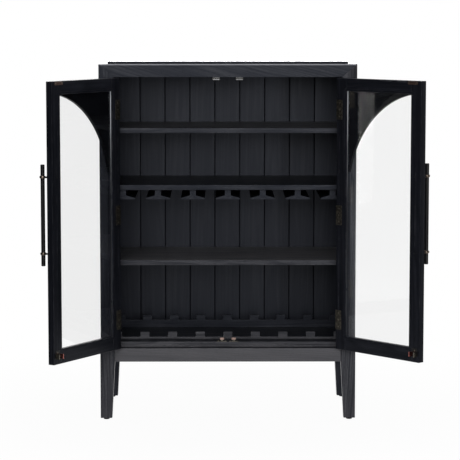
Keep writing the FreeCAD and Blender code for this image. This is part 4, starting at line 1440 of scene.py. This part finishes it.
def add_handle_bar(side):
    """A turned bar with rounded ends."""
    low, high = door_box(side, "handle_bar")
    middle = (low + high) / 2
    radius = (high.x - low.x) / 2
    place = Matrix.Translation((middle.x, middle.y, 0.0))
    bm = bmesh.new()
    turned(bm, round_rod(radius, low.z, high.z, BAR_END * radius), place, BAR_SIDES)
    add_hardware(side, "handle_bar", bm, ["handle black"])


def add_handle_posts(side):
    """Collars round the bar, on waisted posts with rosettes."""
    held = sizes()
    bm = bmesh.new()
    for low, high in boxes(f"{side}_door_handle_posts"):
        low, high = right_hand(low, high)
        middle = (low + high) / 2
        outer = (high.x - low.x) / 2
        bore = outer - held.collar_wall
        half = held.collar_height / 2
        bulge = held.collar_wall / 2
        collar = [(bore, -half), (bore, half)]
        for k in range(COLLAR_STEPS + 1):
            angle = math.pi / 2 - math.pi * k / COLLAR_STEPS
            collar.append((outer - bulge + bulge * math.cos(angle), half * math.sin(angle)))
        place = Matrix.Translation((middle.x, low.y + outer, middle.z))
        turned(bm, collar, place, BAR_SIDES, closed=True)
        rosette = (high.z - low.z) / 2
        waist = held.post_radius
        depth = high.y - low.y - outer
        profile = [
            (0.0, bore),
            (waist, bore),
            (waist, WAIST_END * depth),
            (FLARE * waist, depth - FLARE_LIFT * held.rosette_height),
            (rosette - ROSETTE_SLOPE, depth - held.rosette_height),
            (rosette, depth - ROSETTE_RIM),
            (rosette, depth),
            (0.0, depth),
        ]
        turned(bm, profile, place @ ALONG_Y, material=1)
    add_hardware(side, "handle_posts", bm, ["collar brass", "handle black"])


class CABINET_OT_handles(bpy.types.Operator):
    """Turn the bar handles, with their collars and posts"""

    bl_idname = "cabinet.handles"
    bl_label = "Handles"

    def execute(self, context):
        for side in SIDES:
            add_handle_bar(side)
            add_handle_posts(side)
        return {"FINISHED"}


# Hinges

# Knuckles along a hinge, the gap at the end of each, and how far a leaf reaches into the barrel
KNUCKLES = 5
KNUCKLE_GAP = 0.0002
TAB_REACH = 0.6

# Lathe profile of a pin's end, up to its shank: shares of the button's radius, and heights
PIN_END = ((0.0, 0.0), (0.55, 0.0002), (0.9, 0.0008), (1.0, 0.002), (0.55, 0.002))

# Rounding along the rims of sheet metal, plates and thicker pieces
SHEET_EASE = 0.0002
PLATE_EASE = 0.0003
HEAD_EASE = 0.0004
HOUSING_EASE = 0.0006


def knuckle_places(low, high, first):
    """Heights of the middle of every other knuckle of a hinge, and half the height of one."""
    step = (high - low) / KNUCKLES
    return [low + step * (k + 0.5) for k in range(first, KNUCKLES, 2)], step / 2


def leaf_outline(front, rear, barrel, low, high, first):
    """Edge of a hinge leaf, with a tab to each of its knuckles."""
    middles, half = knuckle_places(low, high, first)
    outline = [(rear, low), (rear, high)]
    for middle in reversed(middles):
        top = min(middle + half, high)
        bottom = max(middle - half, low)
        outline += [(front, top), (barrel, top), (barrel, bottom), (front, bottom)]
    points = []
    for point in outline:
        if not points or (Vector(point) - Vector(points[-1])).length > WELD:
            points.append(point)
    return points


def knuckle_pattern(radius, half):
    """One rolled knuckle of a hinge."""
    bm = bmesh.new()
    end = half - KNUCKLE_GAP
    turned(bm, round_rod(radius, -end, end, sizes().knuckle_ease), sides=PIN_SIDES)
    return pattern_object("hinge knuckle", bm)


def add_hinge_leaves(bm, spans, first, leaf_x, front, rear, axis, radius):
    """Edge plates and knuckles of some hinges on the right-hand side."""
    places = []
    for low, high in spans:
        outline = leaf_outline(front, rear, axis.y + TAB_REACH * radius, low, high, first)
        plate(bm, outline, *leaf_x, place=ALONG_X)
        middles, half = knuckle_places(low, high, first)
        places += [((axis.x, axis.y, middle), UP) for middle in middles]
    pattern = knuckle_pattern(radius, half)
    set_on_points(bm, pattern, places, "hinge brass")
    remove_pattern(pattern)


def add_door_leaves(side):
    """Leaves that wrap from the edge of a door onto its back."""
    held = sizes()
    axis = hinge_axis(side)
    stile = door_box(side, "hinge_stile")
    found = [right_hand(low, high) for low, high in boxes(f"{side}_door_hinge_leaves")]
    radius = found[0][1].x - axis.x
    inner = stile[1].x
    outer = inner + held.leaf
    rear = stile[1].y
    bm = bmesh.new()
    spans = [(low.z, high.z) for low, high in found]
    add_hinge_leaves(bm, spans, 1, (inner, outer), stile[0].y, rear, axis, radius)
    for low, high in found:
        points = [(outer, low.z), (outer, high.z), (low.x, high.z), (low.x, low.z)]
        wrap = rounded(points, [0.0, 0.0, held.leaf_corner, held.leaf_corner])
        plate(bm, wrap, rear, rear + held.leaf, SHEET_EASE, ALONG_Y)
    add_hardware(side, "hinge_leaves", bm, ["hinge brass"])


def add_frame_leaves():
    """Leaves on the inner faces of the front posts."""
    axis = hinge_axis("right")
    found = right_boxes("hinge_frame_leaves")
    post = right_hand(*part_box("right_front_post"))
    radius = axis.x - found[0][0].x
    face = post[0].x
    bm = bmesh.new()
    spans = [(low.z, high.z) for low, high in found]
    add_hinge_leaves(bm, spans, 0, (face - sizes().leaf, face), post[0].y, found[0][1].y, axis, radius)
    add_both_sides("hinge_frame_leaves", bm, ["hinge brass"])


def add_hinge_pins():
    """Pins with a button at each end."""
    bm = bmesh.new()
    for low, high in right_boxes("hinge_pins"):
        middle = (low + high) / 2
        radius = (high.x - low.x) / 2
        profile = [(part * radius, low.z + rise) for part, rise in PIN_END]
        profile += [(part * radius, high.z - rise) for part, rise in reversed(PIN_END)]
        turned(bm, profile, Matrix.Translation((middle.x, middle.y, 0.0)), PIN_SIDES)
    add_both_sides("hinge_pins", bm, ["hinge brass"])


class CABINET_OT_hinges(bpy.types.Operator):
    """Fold the hinge leaves, roll their knuckles and set the pins"""

    bl_idname = "cabinet.hinges"
    bl_label = "Hinges"

    def execute(self, context):
        add_frame_leaves()
        add_hinge_pins()
        for side in SIDES:
            add_door_leaves(side)
        return {"FINISHED"}


# Catches

# Pole plates of a magnetic catch: how far they stand out and stop short of the housing's ends, and
# the foot and head of each
POLE_DEPTH = 0.0012
POLE_MARGIN = 0.0012
POLE_SPANS = ((0.0008, 0.0044), (0.0084, 0.0106))

# Radius of the corners of housings, pole plates, strike plates, grips and the feet of prongs
HOUSING_CORNER = 0.0016
POLE_CORNER = 0.0006
STRIKE_CORNER = 0.0028
GRIP_CORNER = 0.002
FOOT_CORNER = 0.004

# Radius at the head of a grip's plate, by half its width, and the angle in degrees where its curls end
GRIP_HEAD = 0.45
CURL_END = -75

# Rounding under a prong's head
PRONG_FILLET = 0.0008


def add_magnets():
    """Catch housings with two pole plates in front, the lower one thicker."""
    bm = bmesh.new()
    for low, high in right_boxes("magnetic_catches"):
        body = rectangle((low.x, low.z), (high.x, high.z), HOUSING_CORNER)
        plate(bm, body, low.y + POLE_DEPTH, high.y, HOUSING_EASE, ALONG_Y)
        left, right = low.x + POLE_MARGIN, high.x - POLE_MARGIN
        for foot, head in POLE_SPANS:
            strip = rectangle((left, low.z + foot), (right, low.z + head), POLE_CORNER)
            plate(bm, strip, low.y, low.y + 2 * POLE_DEPTH, SHEET_EASE, ALONG_Y, 1)
    add_both_sides("magnetic_catches", bm, ["catch grey", "pole steel"])


def add_strike_plate(side):
    """A thin plate with round corners at the top of a door."""
    low, high = door_box(side, "strike_plate")
    bm = bmesh.new()
    outline = rectangle((low.x, low.z), (high.x, high.z), STRIKE_CORNER)
    plate(bm, outline, low.y, high.y, PLATE_EASE, ALONG_Y)
    add_hardware(side, "strike_plate", bm, ["strike bronze"])


def curled_arm(base, tip, gap, sheet, curl):
    """Outline of a sprung arm, seen from above, that curls outwards at its tip."""
    centre = (gap + curl, tip)
    outside = arc(centre, curl, 180, CURL_END, CURL_STEPS)
    inside = arc(centre, curl - sheet, CURL_END, 180, CURL_STEPS)
    return [(gap, base)] + outside + inside + [(gap + sheet, base)]


def add_spring_grip(side):
    """Two sprung arms on a plate at the foot of a door."""
    held = sizes()
    low, high = door_box(side, "spring_grip")
    middle = (low.x + high.x) / 2
    top = GRIP_HEAD * (high.x - low.x) / 2
    base = low.y + held.grip_plate
    bm = bmesh.new()
    points = [(low.x, low.z), (high.x, low.z), (high.x, high.z), (low.x, high.z)]
    outline = rounded(points, [GRIP_CORNER, GRIP_CORNER, top, top])
    plate(bm, outline, low.y, base, PLATE_EASE, ALONG_Y)
    foot = low.z + held.grip_arm_lift
    arm = curled_arm(base, high.y - held.grip_curl, held.grip_gap, held.grip_sheet, held.grip_curl)
    for material, way in enumerate((-1, 1), 1):
        bent = [(middle + way * x, y) for x, y in arm]
        plate(bm, bent, foot, foot + held.grip_arm_height, material=material)
    # The plate takes the black enamel as painted shade, for the shade it sits in
    add_hardware(side, "spring_grip", bm, ["handle black", "hinge brass", "copper plate"])


def add_prongs():
    """Broad-headed prongs on flat feet at the front of the floor."""
    held = sizes()
    half = held.prong_width / 2
    neck = held.prong_neck / 2
    fillet = PRONG_FILLET
    bm = bmesh.new()
    for low, high in right_boxes("catch_prongs"):
        middle = (low.x + high.x) / 2
        base = low.z + held.prong_foot
        foot = rectangle((low.x, low.y), (high.x, high.y), FOOT_CORNER)
        plate(bm, foot, low.z, base, PLATE_EASE, material=1)
        shoulder = high.z - held.prong_head
        front = low.y + held.prong_setback
        rear = front + held.prong_thickness
        stem = rectangle((middle - neck, base), (middle + neck, shoulder + fillet), fillet / 4)
        plate(bm, stem, front + fillet / 2, rear - fillet / 2, SHEET_EASE, ALONG_Y, 1)
        head = rectangle((middle - half, shoulder), (middle + half, high.z), 2 * fillet)
        plate(bm, head, front, rear, HEAD_EASE, ALONG_Y)
    add_both_sides("catch_prongs", bm, ["prong bronze", "hinge brass"])


class CABINET_OT_catches(bpy.types.Operator):
    """Make the magnetic catches, strike plates, spring grips and prongs"""

    bl_idname = "cabinet.catches"
    bl_label = "Catches"

    def execute(self, context):
        add_magnets()
        add_prongs()
        for side in SIDES:
            add_strike_plate(side)
            add_spring_grip(side)
        return {"FINISHED"}


# Screws, shelf pins and glides

# Seed for how the screws of each body are turned
SCREW_SEEDS = {"case_screws": 3, "left_door_screws": 7, "right_door_screws": 8}

# A screw: how near to its full radius its head's points are, the radius from which it is black like
# the handles, the height of its rim, and how far the rim's underside slopes
HEAD_SHARE = 0.9
WIDE_HEAD = 0.0035
SCREW_RIM = 0.0005
RIM_SLOPE = (0.0002, 0.0001)

# Shank of a screw, and length and half width of its cross, by its radius, and the cross's depth by its rim
SCREW_SHANK = 0.55
CROSS_ARM = 0.68
CROSS_SLOT = 0.16
CROSS_DEPTH = 0.6

# A shelf pin: rounding of its ends, corners of its pad, and radius and depth of its flange
STEM_EASE = 0.0005
PAD_CORNER = 0.0015
FLANGE_RADIUS = 0.0048
FLANGE_DEPTH = 0.0008

# Lathe profile of a glide: shares of its radius and heights, then its nail and the nail's point
GLIDE_FOOT = (
    (0.0, 0.0), (0.78, 0.0), (0.93, 0.0006), (1.0, 0.0018), (1.0, 0.0042), (0.94, 0.0056), (0.88, 0.006),
)
NAIL_RADIUS = 0.0025
NAIL_POINT = 0.0015
POINT_HEIGHT = 0.001


def screw_place(points):
    """Where a screw's head ends, the way that it faces, its radius and its length."""
    low, high = corners(points)
    span = high - low
    axis = max(range(3), key=lambda k: span[k])
    middle = (low + high) / 2
    offsets = [Vector(point) - middle for point in points]
    for offset in offsets:
        offset[axis] = 0.0
    widest = max(offset.length for offset in offsets)
    rim = [point[axis] for point, offset in zip(points, offsets) if offset.length > HEAD_SHARE * widest]
    way = Vector((0.0, 0.0, 0.0))
    way[axis] = 1.0 if sum(rim) / len(rim) > middle[axis] else -1.0
    middle[axis] = high[axis] if way[axis] > 0 else low[axis]
    return middle, way, widest, span[axis]


def screw_head(radius, reach):
    """A wood screw with a low domed head."""
    shank = SCREW_SHANK * radius
    profile = [(0.0, -reach), (shank, -reach + 2 * shank)]
    profile += [(reached, -SCREW_RIM - drop) for reached, drop in zip((shank, radius), RIM_SLOPE)]
    for k in range(DOME_STEPS):
        angle = math.pi / 2 * k / DOME_STEPS
        profile.append((radius * math.cos(angle), -SCREW_RIM + SCREW_RIM * math.sin(angle)))
    bm = bmesh.new()
    turned(bm, profile + [(0.0, 0.0)], sides=SCREW_SIDES)
    return pattern_object("screw head", bm)


def screw_cross(radius):
    """What is cut out of a screw's head for the driver."""
    arm = CROSS_ARM * radius
    slot = CROSS_SLOT * radius
    outline = []
    for k in range(4):
        turn = Matrix.Rotation(math.pi / 2 * k, 2)
        outline += [turn @ Vector(point) for point in ((arm, -slot), (arm, slot), (slot, slot))]
    bm = bmesh.new()
    plate(bm, outline, -CROSS_DEPTH * SCREW_RIM, SCREW_RIM)
    return pattern_object("screw cross", bm)


def screw_pattern(radius, reach):
    """A wood screw with a cross cut into its head."""
    head = screw_head(radius, reach)
    cutter = screw_cross(radius)
    cut = head.modifiers.new("Cross", "BOOLEAN")
    cut.operation = "DIFFERENCE"
    cut.object = cutter
    graph = bpy.context.evaluated_depsgraph_get()
    mesh = bpy.data.meshes.new_from_object(head.evaluated_get(graph), depsgraph=graph)
    head.modifiers.clear()
    remove_pattern(cutter)
    remove_pattern(head)
    return new_object("screw", mesh)


def add_screws(node, seed):
    """All screws of a body, each turned a little differently, the wide ones black like the handles."""
    kinds = {}
    for points in solids(node):
        place, way, radius, reach = screw_place(points)
        kinds.setdefault((round(radius, 4), round(reach, 3)), []).append((place, way))
    bm = bmesh.new()
    for (radius, reach), places in sorted(kinds.items(), key=lambda kind: kind[0]):
        pattern = screw_pattern(radius, reach)
        first = len(bm.faces)
        set_on_points(bm, pattern, places, "screw brass", math.pi, seed)
        remove_pattern(pattern)
        bm.faces.ensure_lookup_table()
        for face in bm.faces[first:]:
            face.material_index = 1 if radius > WIDE_HEAD else 0
    add_piece(f"{node}_finished", bm, [node], ["screw brass", "handle black"])


def add_shelf_pins():
    """Pins with a flat pad that the shelves lie on."""
    held = sizes()
    bm = bmesh.new()
    for low, high in right_boxes("shelf_pins"):
        middle = (low + high) / 2
        wall = low.x + held.pin_reach
        axis = low.z + held.pin_radius
        stem = Matrix.Translation((0.0, middle.y, axis)) @ ALONG_X
        turned(bm, round_rod(held.pin_radius, low.x, high.x, STEM_EASE), stem, SCREW_SIDES)
        pad = rectangle((low.x, low.y), (wall, high.y), PAD_CORNER)
        plate(bm, pad, axis, high.z, PLATE_EASE)
        flange = arc((middle.y, axis), FLANGE_RADIUS, 0, 360, SCREW_SIDES)[:-1]
        flange = [(y, min(z, high.z)) for y, z in flange]
        plate(bm, flange, wall - FLANGE_DEPTH, wall, place=ALONG_X)
    add_both_sides("shelf_pins", bm, ["pin steel"])


def add_glides():
    """Moulded glides under the feet."""
    found = boxes("foot_glides")
    low, high = found[0]
    radius = (high.x - low.x) / 2
    flat = GLIDE_FOOT[-1][1]
    profile = [(part * radius, rise) for part, rise in GLIDE_FOOT]
    profile += [(NAIL_RADIUS, flat), (NAIL_RADIUS, high.z - POINT_HEIGHT)]
    profile += [(NAIL_POINT, high.z), (0.0, high.z)]
    bm = bmesh.new()
    turned(bm, profile)
    pattern = pattern_object("glide", bm)
    bm = bmesh.new()
    places = [((low + high) / 2 * Vector((1, 1, 0)), UP) for low, high in found]
    set_on_points(bm, pattern, places, "glide black")
    remove_pattern(pattern)
    add_piece("foot_glides_finished", bm, ["foot_glides"], ["glide black"])


class CABINET_OT_small_parts(bpy.types.Operator):
    """Set the screws, shelf pins and glides"""

    bl_idname = "cabinet.small_parts"
    bl_label = "Screws, pins and glides"

    def execute(self, context):
        for node, seed in SCREW_SEEDS.items():
            add_screws(node, seed)
        add_shelf_pins()
        add_glides()
        return {"FINISHED"}


# Stage

SENSOR_WIDTH = 36.0
VIEW_END = 200.0

# Lamps: where each stands, what it faces, width, height, power, and whether shiny surfaces mirror it
CABINET_MIDDLE = (0.0, 0.0, 0.75)
LAMPS = {
    "front lamp": ((-0.8, -5.6, 2.5), CABINET_MIDDLE, 4.0, 1.9, 142.0, True),
    "front right lamp": ((2.596, -5.742, 0.85), CABINET_MIDDLE, 0.4, 1.5, 44.0, True),
    "top lamp": ((0.0, 0.3, 3.8), CABINET_MIDDLE, 2.6, 2.6, 40.0, True),
    "back lamp": ((0.4, 3.6, 2.2), CABINET_MIDDLE, 2.4, 2.0, 60.0, False),
    "low back lamp": ((0.0, 3.6, 1.395), (0.0, 0.0, 1.3), 3.0, 0.13, 8.0, True),
    "left lamp": ((-3.2, 1.4, 2.0), CABINET_MIDDLE, 1.6, 1.6, 45.0, False),
    "right lamp": ((3.2, 1.4, 2.0), CABINET_MIDDLE, 1.6, 1.6, 45.0, False),
}

# Dark flats: how far aside each stands and where it ends at the back, then the front end and height
# of both
FLATS = {"left flat": (-1.25, 0.5), "right flat": (2.0, -0.45)}
FLAT_FRONT = -4.6
FLAT_HEIGHT = 4.0


def white_world():
    """White to the eye, and a softer light on matt surfaces."""
    world = bpy.data.worlds.new("white room")
    world.use_nodes = True
    tree = world.node_tree
    tree.nodes.clear()
    soft = stage().surround
    strength = plus(tree, soft, times(tree, seen_ray(tree), 1.0 - soft))
    back = add(tree, "ShaderNodeBackground", {"Color": WHITE, "Strength": strength})
    add(tree, "ShaderNodeOutputWorld", {"Surface": back.outputs[0]})
    bpy.context.scene.world = world


def add_sheet(name, points, title):
    """A flat sheet of the stage in a finish."""
    mesh = bpy.data.meshes.new(name)
    mesh.from_pydata(points, [], [range(len(points))])
    mesh.materials.append(finish_of(title))
    sheet = new_object(name, mesh)
    return sheet


def add_floor():
    """The floor that the cabinet stands on."""
    half = stage().floor_size
    ways = ((-1, -1), (1, -1), (1, 1), (-1, 1))
    add_sheet("floor", [(half * x, half * y, 0.0) for x, y in ways], "pale floor")


def add_side_flats():
    """Dark flats beside the cabinet that keep white off the doors, unseen themselves."""
    for name, (x, back) in FLATS.items():
        foot = [(x, back, 0.0), (x, FLAT_FRONT, 0.0)]
        head = [(x, FLAT_FRONT, FLAT_HEIGHT), (x, back, FLAT_HEIGHT)]
        flat = add_sheet(name, foot + head, "dark flat")
        flat.visible_camera = False
        flat.visible_transmission = False
        flat.visible_shadow = False


def add_lamp(name, place, target, width, height, power, mirrored):
    """A soft lamp that faces a point and isn't seen itself, though shiny surfaces may mirror it."""
    lamp = bpy.data.lights.new(name, "AREA")
    lamp.shape = "RECTANGLE"
    lamp.size = width
    lamp.size_y = height
    lamp.energy = power
    holder = new_object(name, lamp)
    holder.location = place
    holder.rotation_euler = (Vector(target) - Vector(place)).to_track_quat("-Z", "Y").to_euler()
    holder.visible_camera = False
    holder.visible_transmission = False
    holder.visible_glossy = mirrored


def add_camera():
    """The camera that took the picture."""
    look = stage()
    lens = bpy.data.cameras.new("camera")
    lens.lens = look.camera_lens
    lens.sensor_width = SENSOR_WIDTH
    lens.clip_end = VIEW_END
    camera = new_object("camera", lens)
    camera.location = look.camera_place
    camera.rotation_euler = (math.pi / 2 - look.camera_pitch, 0.0, -look.camera_yaw)
    bpy.context.scene.camera = camera


class CABINET_OT_stage(bpy.types.Operator):
    """Set up the floor, flats, lamps, white surround and camera"""

    bl_idname = "cabinet.stage"
    bl_label = "Stage"

    def execute(self, context):
        white_world()
        add_floor()
        add_side_flats()
        for name, values in LAMPS.items():
            add_lamp(name, *values)
        add_camera()
        context.scene.view_settings.view_transform = "Standard"
        return {"FINISHED"}


class CABINET_PT_sidebar(bpy.types.Panel):
    """Every step of dressing the cabinet"""

    bl_idname = "CABINET_PT_sidebar"
    bl_label = "Wine cabinet"
    bl_space_type = "VIEW_3D"
    bl_region_type = "UI"
    bl_category = "Cabinet"

    def draw(self, context):
        for operator in OPERATORS:
            self.layout.operator(operator.bl_idname)
        for held in (sizes(), finish(), stage()):
            column = self.layout.column()
            for name in held.__annotations__:
                column.prop(held, name)


OPERATORS = (
    CABINET_OT_case_frame,
    CABINET_OT_case_boards,
    CABINET_OT_bottle_rack,
    CABINET_OT_stem_rails,
    CABINET_OT_door_frames,
    CABINET_OT_panes,
    CABINET_OT_handles,
    CABINET_OT_hinges,
    CABINET_OT_catches,
    CABINET_OT_small_parts,
    CABINET_OT_stage,
)
GROUPS = {
    "cabinet_sizes": CabinetSizes,
    "cabinet_finish": CabinetFinish,
    "cabinet_stage": CabinetStage,
}


def register():
    """Add the property groups, operators and panel."""
    for name, held in GROUPS.items():
        bpy.utils.register_class(held)
        setattr(bpy.types.Scene, name, bpy.props.PointerProperty(type=held))
    for operator in OPERATORS:
        bpy.utils.register_class(operator)
    bpy.utils.register_class(CABINET_PT_sidebar)


def unregister():
    """Take away what register added."""
    bpy.utils.unregister_class(CABINET_PT_sidebar)
    for operator in reversed(OPERATORS):
        bpy.utils.unregister_class(operator)
    for name, held in GROUPS.items():
        delattr(bpy.types.Scene, name)
        bpy.utils.unregister_class(held)


def main():
    """Dress the whole cabinet."""
    register()
    bpy.ops.cabinet.case_frame()
    bpy.ops.cabinet.case_boards()
    bpy.ops.cabinet.bottle_rack()
    bpy.ops.cabinet.stem_rails()
    bpy.ops.cabinet.door_frames()
    bpy.ops.cabinet.panes()
    bpy.ops.cabinet.handles()
    bpy.ops.cabinet.hinges()
    bpy.ops.cabinet.catches()
    bpy.ops.cabinet.small_parts()
    bpy.ops.cabinet.stage()


if __name__ == "__main__":
    main()
